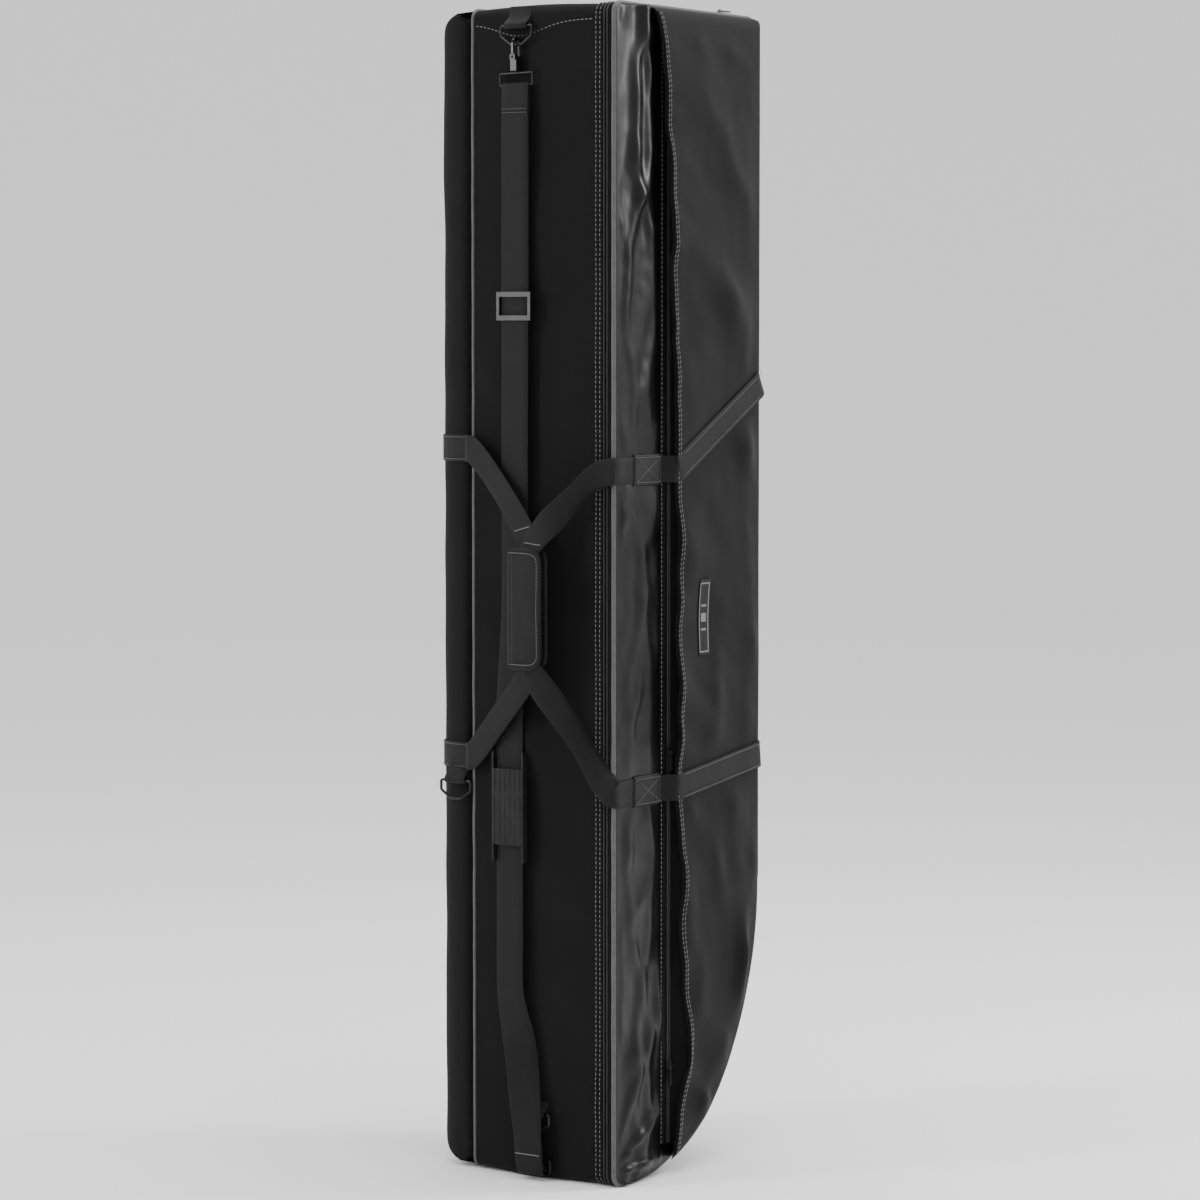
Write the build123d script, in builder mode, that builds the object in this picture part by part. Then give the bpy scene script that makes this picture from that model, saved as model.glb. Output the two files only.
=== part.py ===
"""Snowboard bag: a padded, box-shaped bag that stands on end, with a lid that opens on a long zip,
a pocket on the lid, two webbing carry handles joined by a wrap, and a clip-on shoulder strap.

Frame: +Z runs up the bag's length, the lid faces -Y and the side with the handles faces -X.
Pieces are drawn about the middle of the bag's width and depth, with the bottom at z = 0, and
written with the origin in the middle of the flat foot under the bottom corner.
"""
from build123d import *
import math
import os

os.makedirs("parts", exist_ok=True)

# ---------------------------------------------------------------- driving dimensions, mm
bag_width = 360.0           # across the lid, X
bag_depth = 236.0           # across the side with the handles, Y
bag_height = 1650.0         # along the bag, Z
toe_height = 400.0          # height at which the rounded far bottom corner begins
toe_side_radius = 480.0     # upper, flatter arc of that corner
foot_width = 45.0           # flat stretch under the near bottom corner
back_bulge = 72.0           # how far the padded back stands out behind its piping

fabric = 2.0                # outer fabric with its coating
foam = 5.0                  # padding
lining = 1.0                # inner fabric
running_gap = 0.3           # between pieces that slide or swing past each other
pin_gap = 0.06              # radial clearance of a pin in its bore
seam_gap = 0.5              # between the lid and the shell at rest

piping_radius = 4.0         # front edge piping
back_piping_radius = 2.5

zip_gap = 2.0               # between the two rows of coil
zip_tape_width = 14.0
lid_tape_width = 5.0        # from the piping to the lid's row of coil
hinge_end = 22.0            # the zip stops this far from the hinge
zip_tape = 1.2
coil_width = 3.0
coil_height = 3.4
slider_length = 16.0
slider_plate = 1.6
slider_web = 1.4
pull_length = 26.0
pull_width = 6.0
pull_thickness = 2.0
pull_pin_radius = 1.2
main_slider_x = 112.0
pocket_slider_z = {"upper": 602.0, "lower": 150.0}
pocket_zip_lift = 2.2       # the pocket panel's row of coil stands off the lid by this

pocket_mouth = -52.0        # X of the pocket panel's free edge
pocket_zip_ends = (40.0, 20.0)      # from the bottom and from the top of the bag
pocket_depth = 16.0
pocket_fabric = 2.5
hem_width = 9.0
badge_size = (30.0, 112.0)
badge_place = (14.0, 790.0)

webbing_width = 38.0        # carry webbing
webbing = 2.4
patch_size = (69.0, 44.0)
patch_thickness = 2.0
front_anchor = {"upper": 1004.0, "lower": 552.0}
back_anchor = {"upper": 1032.0, "lower": 592.0}
belt_rise = {"upper": 124.0, "lower": 30.0}

grip_centre = (-228.0, -10.0, 811.0)
grip_turn = 11.0            # degrees that the wrap is turned outwards
grip_length = 163.0
grip_width = 58.0
grip_leaf = 3.0
grip_space = 19.0           # between the wrap's two leaves
front_slack = 2.0           # between the lid's handle and the tape on the flap
touch_tape = 1.2            # hook and loop tape
touch_width = 12.0
corner_reach = 12.0         # how far the free webbing stands off the bag's edges

strap_width = 48.0
strap = 2.0
strap_off = 17.0            # strap's middle from the side of the bag
strap_run = {"upper": 34.0, "lower": 44.0}
swivel_off = 12.5           # the swivels and rings from the side of the bag
swivel_place = {"top": (34.0, 1558.0), "bottom": (6.0, 24.0)}
strap_low_off = 27.0        # the strap passes in front of the lower hook

ring_wire = 2.0             # radius
ring_width = 56.0
ring_drop = 26.0
tab_reach = 11.0            # how far a ring's tab runs up from its bar
hook_reach = 40.0           # from the swivel to the ring
hook_eye_radius = 5.5
hook_wire = 2.5
stem_radius = 1.8
stem_head_radius = 3.2
loop_wire = 1.6
loop_height = 17.0
gate_radius = 1.6
gate_length = 19.0

adjuster_size = (58.0, 40.0)
adjuster_wall = 3.0
adjuster_place = 1233.0
pad_size = (54.0, 157.0)
pad_thickness = 5.0
pad_place = 526.0

# ---------------------------------------------------------------- sizes that follow from them
half_w = bag_width / 2
half_d = bag_depth / 2
wall = fabric + foam + lining
foot_end = -half_w + foot_width
toe_bottom_radius = (
    toe_side_radius**2 - (foot_end - half_w + toe_side_radius) ** 2 - toe_height**2
) / (2 * (toe_side_radius - toe_height))
lid_back = -half_d                                  # inner face of the lid's seam
lid_coil = lid_back + lid_tape_width                # where the lid's row of coil begins
shell_coil = lid_coil + coil_width + zip_gap
shell_front = shell_coil + coil_width               # front edge of the shell's walls
lid_front = lid_back - wall                         # outer face of the front panel
panel_coil_x = pocket_mouth - coil_width - 1.0      # coil on the front panel's side
patch_x = panel_coil_x - zip_tape_width - 2.0 - patch_size[0] / 2
pocket_inner = lid_front - pocket_depth
pocket_outer = pocket_inner - pocket_fabric


to_foot = Location((half_w - foot_width / 2, 0, 0))


def save(piece, name):
    """Move a finished piece into the foot's frame, label it and write it."""
    placed = piece.part.moved(to_foot)
    placed.label = name
    export_step(placed, f"parts/{name}.step")


def trace_outline():
    """The bag's outline: a tall rectangle whose far bottom corner is two tangent arcs."""
    side = (half_w - toe_side_radius, toe_height)
    under = (foot_end, toe_bottom_radius)
    turn = math.atan2(under[1] - side[1], under[0] - side[0])
    join = (
        side[0] + toe_side_radius * math.cos(turn),
        side[1] + toe_side_radius * math.sin(turn),
    )
    Line((-half_w, 0), (-half_w, bag_height))
    Line((-half_w, bag_height), (half_w, bag_height))
    Line((half_w, bag_height), (half_w, toe_height))
    RadiusArc((half_w, toe_height), join, toe_side_radius)
    RadiusArc(join, (foot_end, 0), toe_bottom_radius)
    Line((foot_end, 0), (-half_w, 0))


def outline_face(inset):
    """The outline as a face, drawn in by inset on every side."""
    with BuildSketch(mode=Mode.PRIVATE) as face:
        with BuildLine():
            trace_outline()
        make_face()
        if inset:
            offset(amount=-inset, kind=Kind.INTERSECTION)
    return face.sketch


def slab(inset, low, high, mode=Mode.ADD):
    """The outline drawn in by inset and filled from y = low to y = high."""
    face = outline_face(inset)
    with BuildSketch(Plane.XZ.offset(-high)) as front:
        add(face)
    extrude(front.sketch, amount=high - low, mode=mode)


def band(outer, inner, low, high, mode=Mode.ADD):
    """A ring that follows the outline, between two insets and two depths."""
    whole, hole = outline_face(outer), outline_face(inner)
    with BuildSketch(Plane.XZ.offset(-high)) as front:
        add(whole)
        add(hole, mode=Mode.SUBTRACT)
    extrude(front.sketch, amount=high - low, mode=mode)


def keep_box(low, high, mode=Mode.INTERSECT):
    """Keep, or with another mode cut or add, the box between two corners."""
    middle = tuple((a + b) / 2 for a, b in zip(low, high))
    size = [b - a for a, b in zip(low, high)]
    with Locations(middle):
        Box(*size, mode=mode)


def back_form(inset, mode=Mode.ADD):
    """The rounded back: outlines that draw in as they stand further out."""
    levels = [(0.0, 0.0), (0.06, 0.45), (0.24, 0.84), (0.5, 1.0)]
    reach = back_bulge - inset
    faces = []
    for draw_in, out in levels:
        face = outline_face(inset + back_bulge * draw_in)
        with BuildSketch(Plane.XZ.offset(-half_d - reach * out), mode=Mode.PRIVATE) as level:
            add(face)
        faces.append(level.sketch.face())
    loft(sections=faces, ruled=True, mode=mode)


def strip(start, end, across, thickness, mode=Mode.ADD):
    """A flat length of webbing from start to end; across is its width, as a vector."""
    run = Vector(*end) - Vector(*start)
    breadth = Vector(*across)
    with BuildSketch(Plane(origin=start, x_dir=run, z_dir=run.cross(breadth))) as face:
        with Locations((run.length / 2, 0)):
            Rectangle(run.length, breadth.length)
    extrude(face.sketch, amount=thickness / 2, both=True, mode=mode)


# ---------------------------------------------------------------- shell
far = bag_width + bag_height    # larger than the bag, for cutting boxes
gusset_zones = {
    "gusset_near": ((-far, -far, 0), (-half_w + fabric, far, bag_height)),
    "gusset_top": ((-half_w + fabric, shell_front, bag_height - fabric), (far, far, far)),
    "gusset_far": ((half_w - fabric, -far, toe_height), (far, far, bag_height - fabric)),
    "gusset_toe": ((-half_w + fabric, -far, -far), (far, far, toe_height)),
}
for name, (low, high) in gusset_zones.items():
    front = lid_back + seam_gap if name == "gusset_far" else shell_front
    with BuildPart() as gusset:
        band(0, fabric, front, half_d)
        keep_box(low, high)
    save(gusset, name)

with BuildPart() as back_panel:
    back_form(0)
    back_form(fabric, mode=Mode.SUBTRACT)
save(back_panel, "back_panel")

with BuildPart() as back_foam:
    back_form(fabric)
    back_form(fabric + foam, mode=Mode.SUBTRACT)
save(back_foam, "back_foam")

with BuildPart() as gusset_foam:
    band(fabric, fabric + foam, shell_front, half_d)
save(gusset_foam, "gusset_foam")

with BuildPart() as shell_lining:
    band(fabric + foam, wall, shell_front, half_d)
    back_form(fabric + foam)
    back_form(wall, mode=Mode.SUBTRACT)
save(shell_lining, "shell_lining")

with BuildPart() as back_piping:
    band(-back_piping_radius, 0, half_d - back_piping_radius, half_d + back_piping_radius)
save(back_piping, "back_piping")


# ---------------------------------------------------------------- main zip
zip_stop = half_w - hinge_end


def zip_row(outer, inner, low, high):
    """One side of the main zip: a ring along the outline that stops short of the hinge."""
    band(outer, inner, low, high)
    keep_box((-far, -far, -far), (zip_stop, far, far))


with BuildPart() as zip_tape_shell:
    zip_row(-zip_tape, 0, shell_front, shell_front + zip_tape_width)
save(zip_tape_shell, "main_zip_tape_shell")

with BuildPart() as zip_coil_shell:
    zip_row(-coil_height, 0, shell_coil, shell_front)
save(zip_coil_shell, "main_zip_coil_shell")

with BuildPart() as zip_coil_lid:
    zip_row(-coil_height, 0, lid_coil, lid_coil + coil_width)
save(zip_coil_lid, "main_zip_coil_lid")

with BuildPart() as zip_tape_lid:
    zip_row(-zip_tape, 0, lid_back, lid_coil)
save(zip_tape_lid, "main_zip_tape_lid")


# ---------------------------------------------------------------- lid
with BuildPart() as front_panel:
    slab(0, lid_front, lid_front + fabric)
    band(0, fabric, lid_front + fabric, lid_back)
save(front_panel, "front_panel")

with BuildPart() as lid_foam:
    slab(fabric, lid_front + fabric, lid_front + fabric + foam)
save(lid_foam, "lid_foam")

with BuildPart() as lid_lining:
    slab(fabric, lid_back - lining, lid_back)
save(lid_lining, "lid_lining")

with BuildPart() as front_piping:
    band(-piping_radius, 0, lid_front, lid_front + piping_radius * 2)
save(front_piping, "front_piping")

with BuildPart() as pocket_panel:
    slab(0, pocket_outer, lid_front)
    slab(pocket_fabric, pocket_inner, lid_front, mode=Mode.SUBTRACT)
    keep_box((pocket_mouth, -far, -far), (far, far, far))
    keep_box(
        (pocket_mouth, pocket_outer - 1.0, pocket_fabric),
        (pocket_mouth + hem_width, pocket_outer, bag_height - pocket_fabric),
        mode=Mode.ADD,
    )
save(pocket_panel, "pocket_panel")


# ---------------------------------------------------------------- pocket zip
pocket_zip_low = pocket_zip_ends[0]
pocket_zip_high = bag_height - pocket_zip_ends[1]
flap_coil_x = panel_coil_x + coil_width + zip_gap

with BuildPart() as pocket_zip_tape_panel:
    keep_box(
        (panel_coil_x - zip_tape_width, lid_front - zip_tape, pocket_zip_low),
        (panel_coil_x, lid_front, pocket_zip_high),
        mode=Mode.ADD,
    )
save(pocket_zip_tape_panel, "pocket_zip_tape_panel")

with BuildPart() as pocket_zip_coil_panel:
    keep_box(
        (panel_coil_x, lid_front - pocket_zip_lift - coil_height, pocket_zip_low),
        (panel_coil_x + coil_width, lid_front, pocket_zip_high),
        mode=Mode.ADD,
    )
save(pocket_zip_coil_panel, "pocket_zip_coil_panel")

with BuildPart() as pocket_zip_coil_flap:
    keep_box(
        (flap_coil_x, lid_front - pocket_zip_lift - coil_height, pocket_zip_low),
        (flap_coil_x + coil_width, lid_front - pocket_zip_lift, pocket_zip_high),
        mode=Mode.ADD,
    )
save(pocket_zip_coil_flap, "pocket_zip_coil_flap")

with BuildPart() as pocket_zip_tape_flap:
    keep_box(
        (flap_coil_x + coil_width - zip_tape, pocket_inner, pocket_zip_low),
        (flap_coil_x + coil_width, lid_front - pocket_zip_lift - coil_height, pocket_zip_high),
        mode=Mode.ADD,
    )
save(pocket_zip_tape_flap, "pocket_zip_tape_flap")


# ---------------------------------------------------------------- webbing sewn round the bag
hem_outer = pocket_outer - 1.0
for level, height in front_anchor.items():
    half = webbing_width / 2
    rise = belt_rise[level]
    with BuildPart() as belt:
        with BuildSketch(Plane.XY.offset(height - half)):
            with BuildLine():
                Polyline(
                    (patch_x - patch_size[0] / 2, lid_front),
                    (patch_x + patch_size[0] / 2, lid_front),
                    (patch_x + patch_size[0] / 2, lid_front - webbing),
                    (patch_x - patch_size[0] / 2, lid_front - webbing),
                    close=True,
                )
            make_face()
        extrude(amount=webbing_width)
        with BuildSketch(Plane.XY.offset(height - half)):
            with BuildLine():
                Polyline(
                    (patch_x + patch_size[0] / 2, lid_front - webbing),
                    (pocket_mouth - 2, hem_outer - webbing),
                    (pocket_mouth + 1, hem_outer - webbing),
                    (pocket_mouth + 1, hem_outer),
                    (pocket_mouth - 2, hem_outer),
                    (patch_x + patch_size[0] / 2, lid_front),
                    close=True,
                )
            make_face()
        extrude(amount=webbing_width)
        with BuildSketch(Plane.XZ.offset(-hem_outer)):
            with BuildLine():
                Polyline(
                    (pocket_mouth, height - half),
                    (half_w, height - half + rise),
                    (half_w, height + half + rise),
                    (pocket_mouth, height + half),
                    close=True,
                )
            make_face()
        extrude(amount=webbing)
    save(belt, f"front_webbing_{level}")

    with BuildPart() as patch:
        with Locations((patch_x, lid_front - webbing - patch_thickness / 2, height)):
            Box(patch_size[0], patch_thickness, patch_size[1])
    save(patch, f"handle_patch_{level}")

for level, height in back_anchor.items():
    with BuildPart() as belt:
        back_form(-webbing)
        back_form(0, mode=Mode.SUBTRACT)
        keep_box(
            (-far, half_d + back_piping_radius, height - webbing_width / 2),
            (far, far, height + webbing_width / 2),
        )
    save(belt, f"back_webbing_{level}")

with BuildPart() as badge:
    with Locations((badge_place[0], pocket_outer - 0.5, badge_place[1])):
        Box(badge_size[0], 1.0, badge_size[1])
save(badge, "badge")


# ---------------------------------------------------------------- carry handles and their wrap
turn = math.radians(grip_turn)
mouth = Vector(-math.sin(turn), -math.cos(turn), 0)    # the way the wrap opens
outward = Vector(-math.cos(turn), math.sin(turn), 0)   # away from the bag
middle = Vector(*grip_centre)
up = Vector(0, 0, 1)
leg_overlap = 4.0
inner_leaf = -grip_space / 2                           # face of the wrap's inner leaf
outer_leaf = grip_space / 2
back_layer = inner_leaf + touch_tape + webbing / 2 + running_gap
front_layer = outer_leaf - touch_tape - webbing / 2 - front_slack
grip_half = grip_length / 2


def at_grip(along, height, out):
    """A point given by its distances along the wrap's mouth direction, up, and outwards."""
    return middle + mouth * along + up * height + outward * out


def grip_block(along, height, out, mode=Mode.ADD):
    """A block in the wrap's own directions; each argument is a low and a high value."""
    centre = at_grip(sum(along) / 2, sum(height) / 2, sum(out) / 2)
    with BuildSketch(Plane(origin=centre, x_dir=mouth, z_dir=outward)) as face:
        Rectangle(along[1] - along[0], height[1] - height[0])
    extrude(face.sketch, amount=(out[1] - out[0]) / 2, both=True, mode=mode)


def handle_webbing(layer, anchors, corner_y, tail):
    """A carry handle: a length inside the wrap, and two legs to the bag's edge.

    tail is the flat length along the bag at each anchor, as a vector from the corner.
    """
    with BuildPart() as loop:
        ends = {"upper": grip_half + 14.0, "lower": -grip_half - 14.0}
        grip_block(
            (-webbing_width / 2, webbing_width / 2),
            (ends["lower"] - leg_overlap / 2, ends["upper"] + leg_overlap / 2),
            (layer - webbing / 2, layer + webbing / 2),
        )
        for level, end in ends.items():
            corner = Vector(-half_w - corner_reach, corner_y, anchors[level])
            start = at_grip(0, end, layer)
            run = (corner - start).normalized()
            across = run.cross(outward).normalized() * webbing_width
            strip(start - run * leg_overlap, corner + run * webbing, across, webbing)
            strip(corner, corner + tail, up * webbing_width, webbing)
    return loop


front_tail = Vector(patch_x - patch_size[0] / 2 - running_gap + half_w + corner_reach, 0, 0)
front_handle = handle_webbing(
    front_layer, front_anchor, lid_front - webbing / 2, front_tail
)
save(front_handle, "handle_front_webbing")

back_tail = Vector(corner_reach - 4.0, corner_reach + 1.0, 0)
back_handle = handle_webbing(back_layer, back_anchor, half_d - back_piping_radius, back_tail)
save(back_handle, "handle_back_webbing")

with BuildPart() as wrap:
    grip_block(
        (-grip_width / 2, grip_width / 2),
        (-grip_half, grip_half),
        (inner_leaf - grip_leaf, inner_leaf),
    )
    grip_block(
        (-grip_width / 2 - grip_leaf, -grip_width / 2),
        (-grip_half, grip_half),
        (inner_leaf - grip_leaf, outer_leaf - running_gap),
    )
save(wrap, "grip_wrap")

with BuildPart() as flap:
    grip_block(
        (-grip_width / 2 - grip_leaf, grip_width / 2),
        (-grip_half, grip_half),
        (outer_leaf, outer_leaf + grip_leaf),
    )
save(flap, "grip_flap")

touch_span = (grip_width / 2 - touch_width, grip_width / 2)
with BuildPart() as hook_tape:
    grip_block(touch_span, (-grip_half + 8, grip_half - 8), (inner_leaf, inner_leaf + touch_tape))
save(hook_tape, "grip_hook_tape")

with BuildPart() as loop_tape:
    grip_block(touch_span, (-grip_half + 8, grip_half - 8), (outer_leaf - touch_tape, outer_leaf))
save(loop_tape, "grip_loop_tape")


# ---------------------------------------------------------------- rings on sewn tabs
def swept_wire(plane, points, radius, corner, closed=True):
    """Round wire bent along straight runs, with every corner rounded; points lie in the plane."""
    with BuildPart() as wire:
        with BuildLine(plane) as path:
            Polyline(*points, close=closed)
            corners = path.vertices() if closed else path.vertices()[1:-1]
            fillet(corners, corner)
        with BuildSketch(Plane(origin=path.line @ 0, z_dir=path.line % 0)) as section:
            Circle(radius)
        sweep(section.sketch, path=path.line)
    return wire


def ring(bar):
    """A D-ring in a plane parallel to the side; its straight bar's middle is at bar."""
    half, drop = ring_width / 2 - ring_wire, ring_drop
    points = [
        (0, 0),
        (half, 0),
        (half, -drop * 0.55),
        (half * 0.35, -drop),
        (-half * 0.35, -drop),
        (-half, -drop * 0.55),
        (-half, 0),
    ]
    plane = Plane(origin=bar, x_dir=(0, 1, 0), z_dir=(1, 0, 0))
    return swept_wire(plane, points, ring_wire, ring_wire * 1.6)


def ring_tab(bar):
    """Folded webbing sewn to the side, with a bore for the ring's bar."""
    width = ring_width - 16.0
    fold = ring_wire + pin_gap + webbing
    on_back = bar[1] > half_d
    inner = -half_w + (back_bulge / 2 if on_back else 0)
    with BuildPart() as tab:
        keep_box(
            (bar[0] - fold, bar[1] - width / 2, bar[2] - fold),
            (inner, bar[1] + width / 2, bar[2] + tab_reach + fold),
            mode=Mode.ADD,
        )
        if on_back:
            back_form(0, mode=Mode.SUBTRACT)
        with BuildSketch(Plane(origin=bar, z_dir=(0, 1, 0))) as bore:
            Circle(ring_wire + pin_gap)
        extrude(bore.sketch, amount=width, both=True, mode=Mode.SUBTRACT)
    return tab


swivel_x = -half_w - swivel_off
ring_bars = {
    name: (swivel_x, y, z + hook_reach + ring_drop) for name, (y, z) in swivel_place.items()
}
back_ring_z = back_anchor["lower"] - webbing_width / 2 - tab_reach - ring_wire * 3
ring_bars["back"] = (-half_w - 5.0, half_d + ring_width / 2 + 1.0, back_ring_z)
for name, bar in ring_bars.items():
    save(ring(bar), f"ring_{name}")
    save(ring_tab(bar), f"ring_tab_{name}")


# ---------------------------------------------------------------- shoulder strap
axis_low = Vector(swivel_x, *swivel_place["bottom"])
axis_high = Vector(swivel_x, *swivel_place["top"])
strap_axis = (axis_high - axis_low).normalized()
swivels = {
    "top": Plane(origin=axis_high, x_dir=(-1, 0, 0), z_dir=strap_axis),
    "bottom": Plane(origin=axis_low, x_dir=(-1, 0, 0), z_dir=strap_axis),
}
loop_width = strap_width + 4.0
collar = (3.0, 9.0)             # up the swivel: where the hook's collar holds the stem
head_room = (9.0, 14.0)
head_height = 3.0
shank_top = 23.0
hook_bend = hook_eye_radius + hook_wire
gate_pivot = (hook_bend, shank_top + 1.0)


def upright(plane, height):
    """The plane across a swivel's axis, height above it."""
    return Plane(origin=plane.origin + plane.z_dir * height, x_dir=plane.x_dir, z_dir=plane.z_dir)


def beside(plane):
    """The plane that holds a swivel's axis and points out from the bag: (out, up)."""
    return Plane(origin=plane.origin, x_dir=plane.x_dir, z_dir=plane.x_dir.cross(plane.z_dir))


def strap_loop(plane):
    """A wire rectangle for the webbing, with the swivel's headed stem on its upper bar."""
    side = loop_width / 2 + loop_wire
    points = [(0, 0), (side, 0), (side, -loop_height), (-side, -loop_height), (-side, 0)]
    turned = Plane(origin=plane.origin, x_dir=plane.y_dir, z_dir=plane.y_dir.cross(plane.z_dir))
    with BuildPart() as loop:
        add(swept_wire(turned, points, loop_wire, loop_wire * 1.6).part)
        with BuildSketch(plane) as stem:
            Circle(stem_radius)
        extrude(stem.sketch, amount=collar[1] + running_gap + head_height / 2)
        with BuildSketch(upright(plane, collar[1] + running_gap)) as head:
            Circle(stem_head_radius)
        extrude(head.sketch, amount=head_height)
    return loop


def snap_hook(plane):
    """A hook whose collar turns on the stem; the bend leaves its outer side to the gate."""
    with BuildPart() as hook:
        with BuildSketch(upright(plane, collar[0])) as block:
            Rectangle(hook_bend * 2 - 1.0, 10.0)
        extrude(block.sketch, amount=shank_top - collar[0])
        with BuildSketch(upright(plane, collar[0])) as bore:
            Circle(stem_radius + pin_gap)
        extrude(bore.sketch, amount=collar[1] - collar[0], mode=Mode.SUBTRACT)
        with BuildSketch(upright(plane, head_room[0])) as room:
            Circle(stem_head_radius + running_gap)
        extrude(room.sketch, amount=head_room[1] - head_room[0], mode=Mode.SUBTRACT)
        with BuildLine(beside(plane)) as bend:
            Line((-hook_bend, shank_top - 5.0), (-hook_bend, hook_reach))
            CenterArc((0, hook_reach), hook_bend, 180, -150)
        with BuildSketch(Plane(origin=bend.line @ 0, z_dir=bend.line % 0)) as wire:
            Circle(hook_wire)
        sweep(wire.sketch, path=bend.line, transition=Transition.ROUND)
        with BuildSketch(beside(plane)) as ear:
            with Locations((gate_pivot[0] - 2.0, gate_pivot[1] - 2.0)):
                Rectangle(7.0, 8.0)
        extrude(ear.sketch, amount=4.2, both=True)
        with BuildSketch(beside(plane)) as slot:
            with Locations((gate_pivot[0], gate_pivot[1] + 1.0)):
                Rectangle(9.0, 9.0)
        extrude(slot.sketch, amount=2.0, both=True, mode=Mode.SUBTRACT)
        with BuildSketch(beside(plane)) as pin:
            with Locations(gate_pivot):
                Circle(pull_pin_radius)
        extrude(pin.sketch, amount=3.0, both=True)
    return hook


def hook_gate(plane):
    """The sprung bar that closes a hook, turning on the pin in the hook's ears."""
    tip = (gate_pivot[0], gate_pivot[1] + gate_length - gate_radius)
    with BuildPart() as gate:
        with BuildSketch(beside(plane)) as bar:
            with Locations((gate_pivot[0], (gate_pivot[1] + tip[1]) / 2)):
                SlotCenterToCenter(tip[1] - gate_pivot[1], gate_radius * 2, rotation=90)
            with Locations(gate_pivot):
                Circle(pull_pin_radius + 1.2)
            with Locations(gate_pivot):
                Circle(pull_pin_radius + pin_gap, mode=Mode.SUBTRACT)
        extrude(bar.sketch, amount=1.7, both=True)
    return gate


for name, plane in swivels.items():
    save(strap_loop(plane), f"strap_loop_{name}")
    save(snap_hook(plane), f"snap_hook_{name}")
    save(hook_gate(plane), f"snap_gate_{name}")

strap_x = -half_w - strap_off
fold_drop = strap_axis * -loop_height
route = [
    Vector(strap_x, strap_run["upper"], axis_high.Z - loop_height),
    Vector(strap_x, strap_run["upper"], grip_centre[2] - 10.0),
    Vector(strap_x, strap_run["lower"], grip_centre[2] - grip_half - 40.0),
    Vector(strap_x, strap_run["lower"], 250.0),
    Vector(-half_w - strap_low_off, axis_low.Y + 8.0, 100.0),
    Vector(-half_w - strap_low_off, axis_low.Y, axis_low.Z - loop_height),
]
with BuildPart() as strap_webbing:
    for start, end in zip(route, route[1:]):
        run = (end - start).normalized()
        across = run.cross(Vector(1, 0, 0)).normalized() * strap_width
        strip(start - run * strap, end + run * strap, across, strap)
    tail_x = strap_x + strap + running_gap
    tail_low = adjuster_place + adjuster_wall + running_gap * 2
    keep_box(
        (tail_x - strap / 2, strap_run["upper"] - strap_width / 2, tail_low),
        (tail_x + strap / 2, strap_run["upper"] + strap_width / 2, route[0].Z),
        mode=Mode.ADD,
    )
    for end, plane in ((route[0], swivels["top"]), (route[-1], swivels["bottom"])):
        low_bar = plane.origin + fold_drop
        fold = loop_wire + pin_gap + strap
        with BuildSketch(Plane(origin=low_bar, x_dir=(-1, 0, 0), z_dir=plane.y_dir)) as folded:
            with Locations(((low_bar.X - end.X - strap) / 2, 0)):
                Rectangle(low_bar.X - end.X + strap + fold * 2, fold * 2)
        extrude(folded.sketch, amount=strap_width / 2, both=True)
        with BuildSketch(Plane(origin=low_bar, x_dir=(-1, 0, 0), z_dir=plane.y_dir)) as bore:
            Circle(loop_wire + pin_gap)
        extrude(bore.sketch, amount=strap_width, both=True, mode=Mode.SUBTRACT)
save(strap_webbing, "strap_webbing")


def threaded_frame(name, centre_y, centre_z, size, wall_out, wall_in, front, behind):
    """A plate with slots on the strap: front and behind list the heights of its bars.

    The bars in front lie outside the webbing and those behind lie between it and the bag.
    """
    side = strap_width / 2 + running_gap
    out = strap_x - strap / 2 - running_gap
    into = strap_x + strap / 2 + running_gap
    with BuildPart() as frame:
        for sign in (-1, 1):
            inner, outer = sorted((centre_y + sign * side, centre_y + sign * size[0] / 2))
            keep_box(
                (out - wall_out, inner, centre_z - size[1] / 2),
                (into + wall_in, outer, centre_z + size[1] / 2),
                mode=Mode.ADD,
            )
        for low, high in front:
            keep_box(
                (out - wall_out, centre_y - size[0] / 2, centre_z + low),
                (out, centre_y + size[0] / 2, centre_z + high),
                mode=Mode.ADD,
            )
        for low, high in behind:
            keep_box(
                (into, centre_y - size[0] / 2, centre_z + low),
                (into + wall_in, centre_y + size[0] / 2, centre_z + high),
                mode=Mode.ADD,
            )
    save(frame, name)


end = adjuster_size[1] / 2
threaded_frame(
    "strap_adjuster", strap_run["upper"], adjuster_place, adjuster_size, adjuster_wall,
    adjuster_wall, [(-end, -end + 7), (end - 7, end)], [(-adjuster_wall, adjuster_wall)],
)
end = pad_size[1] / 2
threaded_frame(
    "shoulder_pad", strap_run["lower"], pad_place, pad_size, pad_thickness, 3.0,
    [(-end + 24, end - 24)], [(-end, -end + 12), (end - 12, end)],
)


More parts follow.
